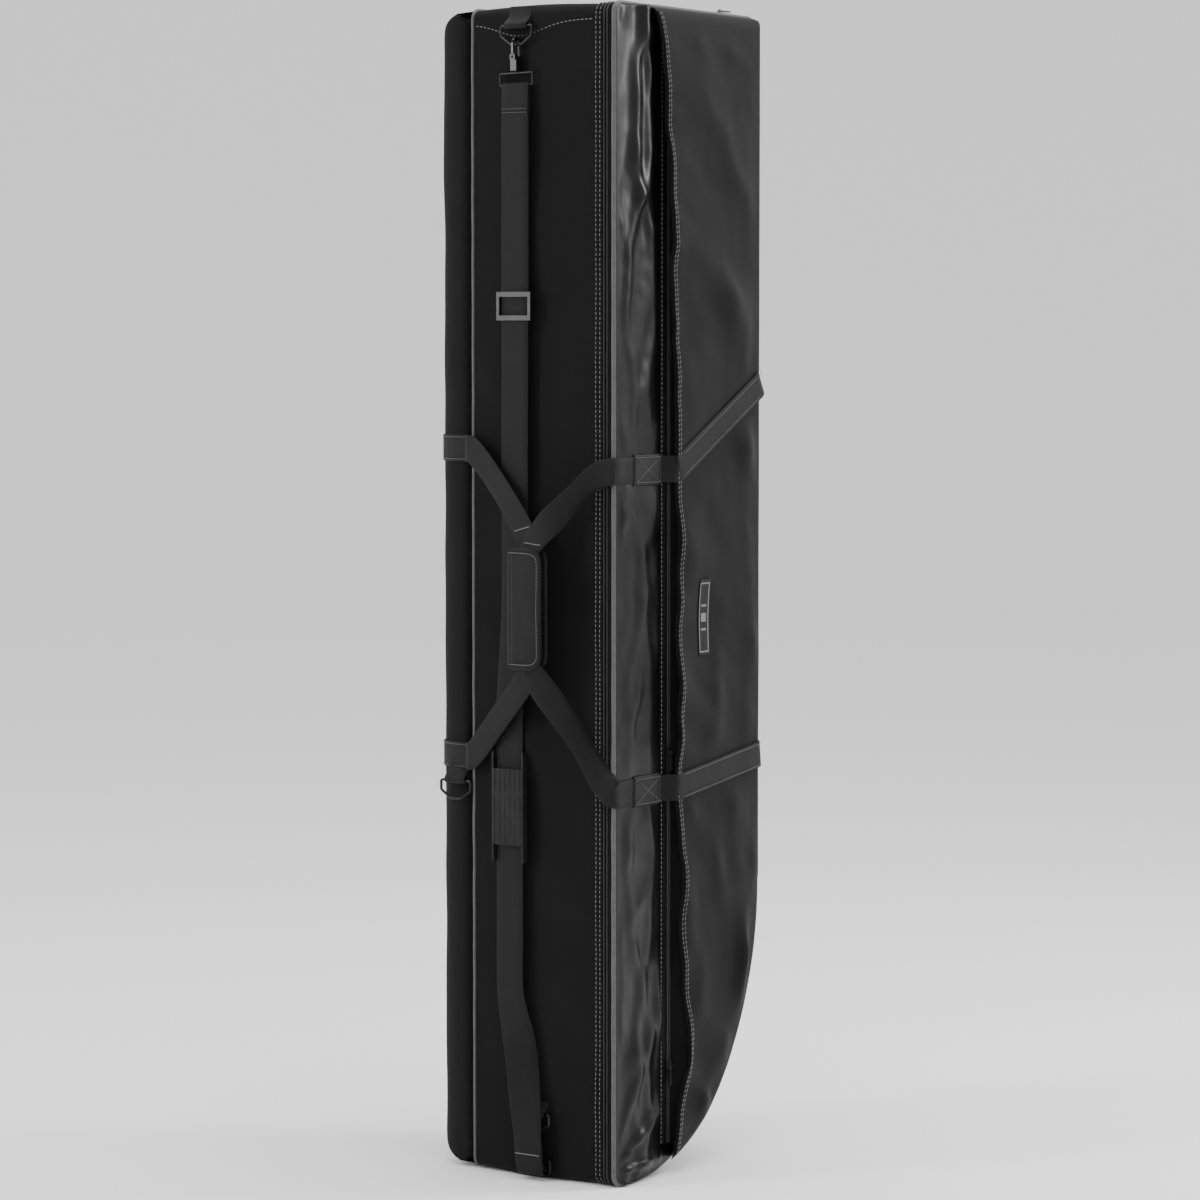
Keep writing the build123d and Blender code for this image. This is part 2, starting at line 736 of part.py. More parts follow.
# ---------------------------------------------------------------- zip sliders and their pulls
def zip_slider(name, plane, over, under, pull_at, base):
    """A slider on two rows of coil, and its pull.

    In the plane x runs along the zip, y across it and z away from the tape. over and under
    are how far the upper and lower plates reach across, and base is the lower plate's top.
    """
    top = coil_height + base + running_gap
    eye_radius = pull_pin_radius + 1.2
    pivot_z = top + slider_plate + eye_radius + running_gap
    ear = 1.4
    pull_half = pull_width / 2

    def block(low, high, mode=Mode.ADD):
        face_at = Plane(
            origin=plane.from_local_coords(Vector(0, 0, low[2])),
            x_dir=plane.x_dir,
            z_dir=plane.z_dir,
        )
        with BuildSketch(face_at) as face:
            with Locations(((low[0] + high[0]) / 2, (low[1] + high[1]) / 2)):
                Rectangle(high[0] - low[0], high[1] - low[1])
        extrude(face.sketch, amount=high[2] - low[2], mode=mode)

    def across(x, z, radius, low, high, mode=Mode.ADD):
        face_at = Plane(
            origin=plane.from_local_coords(Vector(x, low, z)),
            x_dir=plane.x_dir,
            z_dir=plane.y_dir,
        )
        with BuildSketch(face_at) as face:
            Circle(radius)
        extrude(face.sketch, amount=high - low, mode=mode)

    half = slider_length / 2
    with BuildPart() as slider:
        block((-half, over[0], top), (half, over[1], top + slider_plate))
        block((-half, under[0], base - slider_plate), (half, under[1], base - running_gap))
        block((-half, -slider_web / 2, base - slider_plate), (half, slider_web / 2, top))
        for low in (pull_at - pull_half / 2 - ear, pull_at + pull_half / 2):
            block((-ear * 2, low, top), (ear, low + ear, pivot_z + pull_pin_radius))
        across(
            -ear / 2, pivot_z, pull_pin_radius, pull_at - pull_half / 2, pull_at + pull_half / 2
        )
    save(slider, f"{name}_slider")

    eye = pull_half - running_gap * 2
    with BuildPart() as pull:
        across(-ear / 2, pivot_z, eye_radius, pull_at - eye / 2, pull_at + eye / 2)
        level = (pivot_z - pull_thickness / 2, pivot_z + pull_thickness / 2)
        block((-7.0, pull_at - eye / 2, level[0]), (-ear / 2, pull_at + eye / 2, level[1]))
        block(
            (-pull_length, pull_at - pull_half, level[0]),
            (-6.0, pull_at + pull_half, level[1]),
        )
        across(
            -ear / 2, pivot_z, pull_pin_radius + pin_gap, pull_at - eye, pull_at + eye,
            mode=Mode.SUBTRACT,
        )
    save(pull, f"{name}_pull")


main_zip_middle = lid_coil + coil_width + zip_gap / 2
zip_slider(
    "main_zip",
    Plane(origin=(main_slider_x, main_zip_middle, bag_height), x_dir=(-1, 0, 0), z_dir=(0, 0, 1)),
    (-4.5, 4.5), (-3.6, 3.6), 0.0, 0.0,
)
pocket_zip_middle = panel_coil_x + coil_width + zip_gap / 2
for name, height in pocket_slider_z.items():
    zip_slider(
        f"pocket_zip_{name}",
        Plane(origin=(pocket_zip_middle, lid_front, height), x_dir=(0, 0, 1), z_dir=(0, -1, 0)),
        (-2.4, 7.0), (-3.6, 0.0), 4.0, pocket_zip_lift,
    )
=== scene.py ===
"""A padded snowboard bag that stands on end: cloth shell and lid, coated front strip, loose pocket
panel, piping, zips, carry webbing with its wrap, and a clip-on shoulder strap."""
import math
import bpy
import numpy as np
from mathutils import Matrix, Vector


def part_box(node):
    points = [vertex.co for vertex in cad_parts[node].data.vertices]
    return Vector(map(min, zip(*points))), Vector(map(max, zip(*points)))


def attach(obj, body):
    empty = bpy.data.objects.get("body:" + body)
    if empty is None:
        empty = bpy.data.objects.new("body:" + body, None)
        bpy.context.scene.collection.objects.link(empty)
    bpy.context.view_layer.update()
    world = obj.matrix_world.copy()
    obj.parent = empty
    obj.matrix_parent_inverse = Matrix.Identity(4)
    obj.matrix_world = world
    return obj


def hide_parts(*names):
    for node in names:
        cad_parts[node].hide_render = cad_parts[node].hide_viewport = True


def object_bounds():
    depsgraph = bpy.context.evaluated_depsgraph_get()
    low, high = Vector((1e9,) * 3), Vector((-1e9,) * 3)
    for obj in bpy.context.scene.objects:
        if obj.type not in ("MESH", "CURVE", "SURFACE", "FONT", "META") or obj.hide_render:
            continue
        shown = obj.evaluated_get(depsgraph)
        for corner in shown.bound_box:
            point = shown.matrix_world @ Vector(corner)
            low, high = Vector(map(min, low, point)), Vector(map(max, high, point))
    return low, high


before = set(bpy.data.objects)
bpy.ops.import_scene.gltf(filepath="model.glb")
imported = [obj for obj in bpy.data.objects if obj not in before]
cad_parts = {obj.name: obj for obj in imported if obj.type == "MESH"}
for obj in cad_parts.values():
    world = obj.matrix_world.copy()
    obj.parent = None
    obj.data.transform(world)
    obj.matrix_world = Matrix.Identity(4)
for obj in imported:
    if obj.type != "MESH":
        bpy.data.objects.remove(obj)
cad_box = [[float(v) for v in corner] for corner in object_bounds()]

# ------------------------------------------------------------------ sizes read from the frame
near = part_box("gusset_near")[0].x           # side with the handles
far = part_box("gusset_far")[1].x             # hinge side
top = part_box("gusset_near")[1].z
shell_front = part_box("gusset_near")[0].y
shell_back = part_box("gusset_near")[1].y
lid_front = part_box("pocket_panel")[1].y
lid_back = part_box("lid_lining")[1].y
pocket_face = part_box("pocket_panel")[0].y + 0.001
back_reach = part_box("back_panel")[1].y - shell_back
toe_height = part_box("gusset_far")[0].z
foot_end = -near                            # the origin is the middle of the foot
toe_upper = 0.480                           # radii of the far bottom corner
toe_centre_x = far - toe_upper
toe_lower = (toe_upper**2 - (foot_end - toe_centre_x) ** 2 - toe_height**2) / (
    2 * (toe_upper - toe_height)
)
toe_turn = math.atan2(toe_lower - toe_height, foot_end - toe_centre_x)
join_z = toe_height + toe_upper * math.sin(toe_turn)
corner = 0.014                              # rounding of the three square corners
cloth, foam, lining = 0.002, 0.005, 0.001
wall = cloth + foam + lining
middle_x = (near + far) / 2
webbing_width, strap_width = 0.038, 0.046
belt_seam = 0.0155                          # the belts' stitching, either side of their middle
hinge_strip = 0.022                         # the far edge's share that stays sewn
hinge_low, zip_end = 0.2, 0.19              # where on the corner's curve the zip gives way to it
back_levels = {"upper": 1.032, "lower": 0.592}   # heights of the webbing across the back


def at(*rows):
    """Points given from the bag's middle in millimetres, as metres in the row frame."""
    points = np.array(rows, float) / 1000
    points[..., 0] += middle_x
    return points


# ------------------------------------------------------------------ outline of the bag
def arc(cx, cz, radius, start, end, count):
    """Points on a circular arc, without its last point."""
    angle = np.linspace(start, end, count, endpoint=False)
    return np.stack([cx + radius * np.cos(angle), cz + radius * np.sin(angle)], 1)


def run(start, end, count):
    """Evenly spaced points on a straight run, without its last point."""
    t = np.linspace(0, 1, count, endpoint=False)[:, None]
    return np.array(start) * (1 - t) + np.array(end) * t


def outline(inset=0.0):
    """The outline as (x, z) rows, drawn in by inset: straight runs move in, arcs lose radius."""
    c = max(corner - inset, 0.0015)
    left, right, high, low = near + inset, far - inset, top - inset, inset
    quarter = math.pi / 2
    return np.vstack([
        run((left + c, low), (foot_end, low), 8),
        arc(foot_end, toe_lower, toe_lower - inset, -quarter, toe_turn, 40),
        arc(toe_centre_x, toe_height, toe_upper - inset, toe_turn, 0, 50),
        run((right, toe_height), (right, high - c), 150),
        arc(right - c, high - c, c, 0, quarter, 8),
        run((right - c, high), (left + c, high), 56),
        arc(left + c, high - c, c, quarter, 2 * quarter, 8),
        run((left, high - c), (left, low + c), 220),
        arc(left + c, low + c, c, 2 * quarter, 3 * quarter, 8),
    ])


edge = outline()
edge_out = edge - outline(0.0005)
edge_out /= np.linalg.norm(edge_out, axis=1)[:, None]
step = np.linalg.norm(np.diff(np.vstack([edge, edge[:1]]), axis=0), axis=1)
edge_s = np.concatenate([[0], np.cumsum(step)[:-1]])


def right_edge(z, inset=0.0):
    """How far right the outline reaches at each height."""
    c = max(corner - inset, 0.0015)
    low = foot_end + np.sqrt(np.maximum((toe_lower - inset) ** 2 - (toe_lower - z) ** 2, 0))
    high = toe_centre_x + np.sqrt(np.maximum((toe_upper - inset) ** 2 - (toe_height - z) ** 2, 0))
    x = np.where(z < join_z, low, np.where(z < toe_height, high, far - inset))
    up = z - (top - inset - c)
    return np.where(up > 0, far - inset - c + np.sqrt(np.maximum(c**2 - up**2, 0)), x)


def left_edge(z, inset=0.0):
    """How far left the outline reaches at each height."""
    c = max(corner - inset, 0.0015)
    over = np.maximum(np.maximum(z - (top - inset - c), inset + c - z), 0)
    return near + inset + c - np.sqrt(np.maximum(c**2 - over**2, 0))


def from_edge(x, z):
    """Distance in from the outline: the soft least of the distances to its runs and arcs."""
    reach_2 = np.hypot(x - foot_end, z - toe_lower)
    reach_1 = np.hypot(x - toe_centre_x, z - toe_height)
    turn_2 = np.arctan2(z - toe_lower, x - foot_end)
    in_lower = (x > foot_end) & (turn_2 < toe_turn)
    in_upper = (z < toe_height) & ~in_lower & (x > foot_end)
    parts = [
        x - near,
        far - x,
        top - z,
        np.where(x <= foot_end, z, 9.0),
        np.where(in_lower, toe_lower - reach_2, 9.0),
        np.where(in_upper, toe_upper - reach_1, 9.0),
    ]
    total = sum(np.maximum(p, 1e-6) ** -6.0 for p in parts)
    return total ** (-1 / 6)


# ------------------------------------------------------------------ small curves
def ease(low, high, v):
    """Smooth step from 0 at low to 1 at high."""
    t = np.clip((v - low) / (high - low), 0, 1)
    return t * t * (3 - 2 * t)


def hump(v, middle, spread):
    """A bell of height 1."""
    return np.exp(-(((v - middle) / spread) ** 2))


def distance_along(line):
    """How far along a line of points each of them is."""
    return np.concatenate([[0], np.linalg.norm(np.diff(line, axis=0), axis=1).cumsum()])


def pick(places, lengths, rows):
    """Rows read off at some distances along their line, column by column."""
    return np.stack([np.interp(places, lengths, rows[:, k]) for k in range(3)], 1)


def unit(rows):
    """Each row at length 1."""
    return rows / np.linalg.norm(rows, axis=1)[:, None]


def spline(control, count):
    """Catmull-Rom curve through the control rows."""
    c = np.asarray(control, float)
    c = np.vstack([2 * c[0] - c[1], c, 2 * c[-1] - c[-2]])
    t = np.linspace(0, len(c) - 3 - 1e-9, count)
    i = t.astype(int)
    f = (t - i)[:, None]
    a, b, d, e = c[i], c[i + 1], c[i + 2], c[i + 3]
    return 0.5 * (2 * b + (d - a) * f + (2 * a - 5 * b + 4 * d - e) * f**2
                  + (3 * b - a - 3 * d + e) * f**3)


def ripple(u, v, seed, count, short, long, lean=(0, math.pi)):
    """Soft irregular folds: a sum of sines of seeded length, lean and phase, each one bent."""
    rng = np.random.default_rng(seed)
    total = np.zeros(np.broadcast(u, v).shape)
    for _ in range(count):
        angle = rng.uniform(*lean)
        wave = rng.uniform(short, long)
        phase, bend = rng.uniform(0, 2 * math.pi, 2)
        across = u * math.cos(angle) + v * math.sin(angle)
        along = v * math.cos(angle) - u * math.sin(angle)
        swerve = 0.35 * np.sin(along / wave * 1.7 + bend)
        total += np.sin(2 * math.pi * (across / wave + swerve) + phase)
    return total / math.sqrt(count)


def crease(u, v, seed, count, short, long, lean=(0, math.pi)):
    """Sharper folds: rounded ridges where a ripple peaks."""
    wave = ripple(u, v, seed, count, short, long, lean)
    return np.exp(1.4 * (wave - 1.0))


# ------------------------------------------------------------------ meshes
def sheet_faces(rows, cols, wrap_rows=False, wrap_cols=False):
    """Quads of a grid, closed on itself along either way."""
    i = np.arange(rows if wrap_rows else rows - 1)[:, None]
    j = np.arange(cols if wrap_cols else cols - 1)[None, :]
    i2, j2 = (i + 1) % rows, (j + 1) % cols
    quads = [i * cols + j, i2 * cols + j, i2 * cols + j2, i * cols + j2]
    return np.stack([np.broadcast_to(q, (i.size, j.size)) for q in quads], -1).reshape(-1, 4)


def capped(grid):
    """Faces of a closed section carried along a line: its skin, then a flat cap at each end."""
    rows, cols = grid.shape[:2]
    faces = [list(f) for f in sheet_faces(rows, cols, wrap_cols=True)]
    return faces + [list(range(cols))[::-1], [(rows - 1) * cols + j for j in range(cols)]]


def make(name, points, faces, finish, body, uv=None, smooth=True, replaces=(), slot=None):
    """A piece from points and faces, turned so that its closed surface faces outwards."""
    points = np.asarray(points, float).reshape(-1, 3)
    faces = [list(map(int, f)) for f in faces]
    volume = 0.0
    for group in (3, 4):
        f = np.array([x for x in faces if len(x) == group])
        if len(f):
            for k in range(1, group - 1):
                a, b, c = points[f[:, 0]], points[f[:, k]], points[f[:, k + 1]]
                volume += float((a * np.cross(b, c)).sum())
    if volume < 0:
        faces = [f[::-1] for f in faces]
    mesh = bpy.data.meshes.new(name)
    mesh.from_pydata(points.tolist(), [], faces)
    mesh.polygons.foreach_set("use_smooth", [smooth] * len(mesh.polygons))
    if uv is not None:
        corner_at = np.empty(len(mesh.loops), int)
        mesh.loops.foreach_get("vertex_index", corner_at)
        layer = mesh.uv_layers.new(name="weave")
        layer.data.foreach_set("uv", np.asarray(uv, float).reshape(-1, 2)[corner_at].ravel())
    mesh.materials.append(finish)
    piece = bpy.data.objects.new(name, mesh)
    bpy.context.scene.collection.objects.link(piece)
    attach(piece, body)
    if replaces:
        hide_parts(*replaces)
    return piece


def two_sided(outer, inner):
    """Points and faces of a layer of cloth: two grids of one size, joined all round."""
    rows, cols = outer.shape[:2]
    count = rows * cols
    front = sheet_faces(rows, cols)
    grid = np.arange(count).reshape(rows, cols)
    rim = np.concatenate([grid[0, :-1], grid[:-1, -1], grid[-1, :0:-1], grid[:0:-1, 0]])
    after = np.roll(rim, -1)
    sides = np.stack([rim, after, after + count, rim + count], 1)
    faces = np.vstack([front, front[:, ::-1] + count, sides])
    return np.vstack([outer.reshape(-1, 3), inner.reshape(-1, 3)]), faces


def layer(name, outer, inner, finish, body, **rest):
    """A sheet piece with the weave running with its grid, in metres."""
    points, faces = two_sided(outer, inner)

    def flat(grid):
        du = np.linalg.norm(np.diff(grid, axis=1, prepend=grid[:, :1]), axis=2).cumsum(1)
        dv = np.linalg.norm(np.diff(grid, axis=0, prepend=grid[:1]), axis=2).cumsum(0)
        middle = grid.shape[1] // 2
        down = np.broadcast_to(dv[:, middle:middle + 1], du.shape)
        return np.stack([du, down], -1).reshape(-1, 2)

    return make(name, points, faces, finish, body, uv=np.vstack([flat(outer), flat(inner)]), **rest)


def ribbon(name, control, across, width, thick, finish, body, count=60, facing=None, **rest):
    """Webbing: a flat section with round selvedges carried along a smooth line.

    across is the way its width points at each control row; facing gives the way its face
    looks instead, and the width is then at right angles to that and to the line.
    """
    line = spline(control, count)
    along = unit(np.gradient(line, axis=0))
    if facing is not None:
        facing = np.asarray(facing, float)
        look = np.broadcast_to(facing, line.shape) if facing.ndim == 1 else spline(facing, count)
        wide = np.cross(look, along)
    else:
        across = np.asarray(across, float)
        wide = np.broadcast_to(across, line.shape) if across.ndim == 1 else spline(across, count)
    wide = unit(wide - along * (wide * along).sum(1)[:, None])
    up = np.cross(along, wide)
    half = np.broadcast_to(np.asarray(width, float) / 2, (count,))[:, None]
    h = thick / 2
    e = np.minimum(h * 0.8, half * 0.4)
    places = [(-1, 1), (-0.5, 1), (0, 1), (0.5, 1), (1, 1), (1, 0), (1, -1), (0.5, -1), (0, -1),
              (-0.5, -1), (-1, -1), (-1, 0)]
    section = []
    for a, b in places:
        v = a * (half - e) + (np.sign(a) * e if b == 0 else 0)
        section.append(line + wide * v + up * (b * h))
    grid = np.stack(section, 1)
    rows, cols = grid.shape[:2]
    length = distance_along(line)
    side = np.array([a for a, _ in places])
    uv = np.stack([np.broadcast_to(length[:, None], (rows, cols)), half * side[None, :]], -1)
    return make(name, grid, capped(grid), finish, body, uv=uv, **rest)


def round_path(rows, inset, y, push=0.0):
    """Points on the outline's band at one depth; push is how far out they stand."""
    ring = outline(inset)
    ring = ring + edge_out * np.asarray(push).reshape(-1, 1)
    points = np.stack([ring[:, 0], np.broadcast_to(y, len(ring)), ring[:, 1]], 1)
    return points if rows is None else points[rows]


def band(name, section, finish, body, push=None, rows=None, **rest):
    """A closed section of (inset, y) rows carried round the outline, whole or along some rows.

    push(s, y) is how far out the cloth swells at each place.
    """
    columns = []
    for inset, y in section:
        out = 0.0 if push is None else push(edge_s, y, inset)
        columns.append(round_path(rows, inset, y, out))
    grid = np.stack(columns, 1)
    whole = rows is None
    faces = sheet_faces(*grid.shape[:2], wrap_rows=True, wrap_cols=True) if whole else capped(grid)
    s = edge_s if whole else distance_along(grid[:, 0])
    v = distance_along(np.array(section))
    uv = np.stack(np.broadcast_arrays(s[:, None], v[None, :]), -1)
    return make(name, grid, faces, finish, body, uv=uv, **rest)


def resample(line, spacing):
    """Points evenly spaced along a line of points, and their unit directions."""
    lengths = distance_along(line)
    places = np.arange(spacing / 2, lengths[-1], spacing)
    along = pick(places + 1e-4, lengths, line) - pick(places - 1e-4, lengths, line)
    return pick(places, lengths, line), unit(along), places, lengths


def stitches(name, lines, finish, body, pitch=0.0068, length=0.0046, thread=0.00055, slot=None):
    """Rows of thread: each stitch is a short bar of four sides with pointed ends, half sunk.

    lines is a list of (points, outward vectors), one for each row of stitching.
    """
    ring = np.array([(1, 0), (0, 1), (-1, 0), (0, -1)])
    points, faces, base = [], [], 0
    for line, outward in lines:
        line = np.asarray(line, float)
        outward = np.broadcast_to(np.asarray(outward, float), line.shape)
        middle, along, places, lengths = resample(line, pitch)
        up = unit(pick(places, lengths, outward))
        side = np.cross(along, up)
        middle = middle + up * thread * 0.6
        rows = [middle - along * length / 2 - up * thread * 0.8]
        for end in (-0.3, 0.3):
            for a, b in ring:
                rows.append(middle + along * length * end + side * thread * a + up * thread * b)
        rows.append(middle + along * length / 2 - up * thread * 0.8)
        block = np.stack(rows, 1)
        count = len(block)
        points.append(block.reshape(-1, 3))
        one = [[0, 1 + k, 1 + (k + 1) % 4] for k in range(4)]
        one += [[1 + k, 5 + k, 5 + (k + 1) % 4, 1 + (k + 1) % 4] for k in range(4)]
        one += [[9, 5 + (k + 1) % 4, 5 + k] for k in range(4)]
        for n in range(count):
            faces += [[base + n * 10 + v for v in f] for f in one]
        base += count * 10
    return make(name, np.vstack(points), faces, finish, body, smooth=False, slot=slot)


# ------------------------------------------------------------------ shader kit
class Value:
    """A shader socket; sums, products and powers of it add Math nodes."""

    def __init__(self, paint, socket):
        self.paint, self.socket = paint, socket

    def maths(self, operation, a, b=0.0, c=0.0):
        return self.paint.node("ShaderNodeMath", {"operation": operation}, {0: a, 1: b, 2: c})

    def __add__(self, other):
        return self.maths("ADD", self, other)

    def __radd__(self, other):
        return self.maths("ADD", other, self)

    def __sub__(self, other):
        return self.maths("SUBTRACT", self, other)

    def __rsub__(self, other):
        return self.maths("SUBTRACT", other, self)

    def __mul__(self, other):
        return self.maths("MULTIPLY", self, other)

    def __rmul__(self, other):
        return self.maths("MULTIPLY", other, self)

    def __truediv__(self, other):
        return self.maths("DIVIDE", self, other)

    def __pow__(self, other):
        return self.maths("POWER", self, other)

    def __abs__(self):
        return self.maths("ABSOLUTE", self)

    def sine(self):
        return self.maths("SINE", self)

    def least(self, other):
        return self.maths("MINIMUM", self, other)

    def most(self, other):
        return self.maths("MAXIMUM", self, other)

    def step(self, low, high):
        """0 below low and 1 above high, smooth between."""
        return self.paint.node(
            "ShaderNodeMapRange", {"interpolation_type": "SMOOTHSTEP", "clamp": True},
            {"Value": self, "From Min": low, "From Max": high})


class Paint:
    """One material under construction."""

    def __init__(self, name):
        self.material = bpy.data.materials.new(name)
        self.material.use_nodes = True
        self.tree = self.material.node_tree
        self.shader = self.tree.nodes["Principled BSDF"]

    def node(self, kind, settings=None, sockets=None, out=0):
        """Any node: its type, its settings, then the values or links of its sockets."""
        made = self.tree.nodes.new(kind)
        for key, value in (settings or {}).items():
            setattr(made, key, value)
        for key, value in (sockets or {}).items():
            if isinstance(value, Value):
                self.tree.links.new(value.socket, made.inputs[key])
            elif value is not None:
                made.inputs[key].default_value = value
        return Value(self, made.outputs[out])

    def uv(self):
        """(along, across) in metres, from the piece's own weave map."""
        place = self.node("ShaderNodeUVMap", {"uv_map": "weave"})
        return self.split(place)

    def split(self, vector):
        made = self.node("ShaderNodeSeparateXYZ", {}, {0: vector})
        outs = made.socket.node.outputs
        return [Value(self, outs[k]) for k in range(3)]

    def place(self):
        return self.node("ShaderNodeTexCoord", out=3)

    def noise(self, scale, detail=3.0, rough=0.5, where=None):
        return self.node("ShaderNodeTexNoise", {"noise_dimensions": "3D"}, {
            "Vector": where or self.place(), "Scale": scale, "Detail": detail, "Roughness": rough})

    def mix(self, amount, a, b):
        """Colour a, turning to b as amount goes to 1."""
        return self.node("ShaderNodeMix", {"data_type": "RGBA"}, {0: amount, 6: a, 7: b}, out=2)

    def bump(self, height, distance, strength=1.0, normal=None):
        sockets = {"Height": height, "Distance": distance, "Strength": strength}
        if normal is not None:
            sockets["Normal"] = normal
        return self.node("ShaderNodeBump", {}, sockets)

    def set(self, **values):
        """Sockets of the surface shader, named with underscores for spaces."""
        for key, value in values.items():
            socket = self.shader.inputs[key.replace("_", " ")]
            if isinstance(value, Value):
                self.tree.links.new(value.socket, socket)
            else:
                socket.default_value = value
        return self.material


def grey(value):
    return (value, value, value, 1.0)


def woven(name, dark, light, pitch, rough, sheen, depth=0.00018):
    """Plain-weave cloth: two crossed rows of threads that take turns on top, with faint dust."""
    p = Paint(name)
    u, v, _ = p.uv()
    k = math.pi / pitch
    warp = abs((u * k).sine())
    weft = abs((v * k).sine())
    turn = ((u * k).sine() * (v * k).sine()).step(-0.35, 0.35)
    threads = warp * turn + weft * (1 - turn)
    cloud = p.noise(9.0, 5.0, 0.6)
    slub = p.noise(420.0, 2.0, 0.5)
    shade = (cloud - 0.5) * 1.4 + (slub - 0.5) * 0.35 + threads * 0.35 + 0.35
    colour = p.mix(shade.most(0.0).least(1.0), dark, light)
    height = threads * 0.8 + slub * 0.25
    p.set(Base_Color=colour, Roughness=rough + (cloud - 0.5) * 0.16,
          Normal=p.bump(height, depth, 0.9), Sheen_Weight=sheen, Sheen_Roughness=0.45,
          Specular_IOR_Level=0.09)
    return p.material


def ribbed(name, dark, light, pitch, rough, across=0.019):
    """Nylon webbing: fine chevron ribs along it, proud selvedges, a little dust in the ribs."""
    p = Paint(name)
    u, v, _ = p.uv()
    zig = abs(((v / 0.0062) * math.pi).sine()) * 0.9
    rib = abs(((u / pitch + zig) * math.pi).sine())
    row = abs(((v / 0.0016) * math.pi).sine())
    selvedge = abs(v).step(across - 0.0022, across - 0.0012)
    dust = p.noise(60.0, 4.0, 0.6)
    shade = (rib * 0.35 + row * 0.2 + (dust - 0.5) * 0.8 + selvedge * 0.15).most(0.0).least(1.0)
    p.set(Base_Color=p.mix(shade, dark, light), Roughness=rough + (dust - 0.5) * 0.2,
          Normal=p.bump(rib * 0.7 + row * 0.35 + selvedge * 0.5, 0.0003, 0.85),
          Sheen_Weight=0.03, Sheen_Roughness=0.4, Specular_IOR_Level=0.2)
    return p.material


def moulded(name, dark, light, rough, grain, metal=0.0, coat=0.0, depth=0.00008):
    """Moulded or painted hard piece: fine grain, and its sharp edges painted a little lighter as a
    painted highlight.
    """
    p = Paint(name)
    speck = p.noise(grain, 4.0, 0.6)
    smear = p.noise(25.0, 3.0, 0.5)
    bend = p.node("ShaderNodeNewGeometry", out=7)
    # painted highlight: convex edges, found by pointiness, are made lighter in the colour
    edge_highlight = bend.step(0.60, 0.80) * 0.12
    shade = ((smear - 0.5) * 0.9 + edge_highlight + 0.25).most(0.0).least(1.0)
    p.set(Base_Color=p.mix(shade, dark, light), Roughness=rough + (smear - 0.5) * 0.18,
          Metallic=metal, Coat_Weight=coat, Coat_Roughness=0.25,
          Normal=p.bump(speck, depth, 0.6))
    return p.material


side_finish = woven("side_polyester_cloth", grey(0.0024), grey(0.0065), 0.0011, 0.78, 0.03)
pocket_finish = woven("pocket_polyester_cloth", grey(0.0026), grey(0.0068), 0.0013, 0.68, 0.05,
                      depth=0.00024)
lining_finish = woven("grey_taffeta_lining", grey(0.035), grey(0.06), 0.0007, 0.55, 0.1,
                      depth=0.0001)
tape_finish = woven("zip_tape_twill", grey(0.002), grey(0.006), 0.0009, 0.8, 0.02)
binding_finish = woven("twill_binding", grey(0.005), grey(0.014), 0.0008, 0.68, 0.06)
webbing_finish = ribbed("carry_webbing_nylon", grey(0.0028), grey(0.0088), 0.0026, 0.66)
strap_finish = ribbed("strap_webbing_nylon", grey(0.0024), grey(0.0075), 0.0022, 0.66, 0.024)
hook_finish = moulded("black_acetal", grey(0.0025), grey(0.007), 0.34, 900.0)
metal_finish = moulded("blackened_steel", grey(0.018), grey(0.06), 0.32, 500.0, metal=1.0)
slider_finish = moulded("painted_zip_metal", grey(0.02), grey(0.09), 0.38, 700.0, metal=0.7,
                        coat=0.3)
coil_finish = moulded("zip_coil_nylon", grey(0.006), grey(0.02), 0.42, 1500.0)


def coated_finish():
    """Vinyl-coated cloth: glossy, over a faint square scrim, with small dimples and dust."""
    p = Paint("vinyl_coated_cloth")
    u, v, _ = p.uv()
    k = math.pi / 0.0021
    scrim = abs((u * k).sine()).least(abs((v * k).sine()))
    skin = p.noise(130.0, 4.0, 0.55)
    cloud = p.noise(12.0, 4.0, 0.6)
    soft = p.noise(34.0, 2.0, 0.5)
    dimples = p.bump(scrim * 0.5 + skin * 0.5, 0.00012, 0.5)
    p.set(Base_Color=p.mix(cloud, grey(0.0012), grey(0.003)),
          Roughness=0.33 + (cloud - 0.5) * 0.22 + (skin - 0.5) * 0.12,
          Normal=p.bump(soft, 0.0012, 0.55, normal=dimples),
          Coat_Weight=0.05, Coat_Roughness=0.22, Specular_IOR_Level=0.22)
    return p.material


def piping_finish(name, dark, light, rough, glow):
    """Cloth-covered piping: fine slanting threads and a soft silver sheen."""
    p = Paint(name)
    u, v, _ = p.uv()
    slant = abs(((u / 0.0016 + v / 0.004) * math.pi).sine())
    dust = p.noise(80.0, 4.0, 0.6)
    shade = (slant * 0.4 + (dust - 0.5) * 0.9 + 0.35).most(0.0).least(1.0)
    p.set(Base_Color=p.mix(shade, dark, light), Roughness=rough, Metallic=glow,
          Normal=p.bump(slant, 0.00018, 0.7), Sheen_Weight=0.05, Sheen_Roughness=0.4,
          Specular_IOR_Level=0.25)
    return p.material


def foam_finish():
    """Closed-cell foam: pale charcoal with open pores on its cut edges."""
    p = Paint("padding_foam")
    pores = p.node("ShaderNodeTexVoronoi", {"feature": "F1"}, {
        "Vector": p.place(), "Scale": 620.0})
    cloud = p.noise(30.0, 3.0)
    p.set(Base_Color=p.mix(cloud, grey(0.09), grey(0.14)), Roughness=0.9,
          Normal=p.bump(pores, 0.0005, 0.7))
    return p.material


def thread_finish(name, dark, light):
    """Twisted polyester thread."""
    p = Paint(name)
    twist = p.noise(1400.0, 2.0)
    p.set(Base_Color=p.mix(twist, dark, light), Roughness=0.55, Sheen_Weight=0.2,
          Normal=p.bump(twist, 0.0001, 0.5))
    return p.material


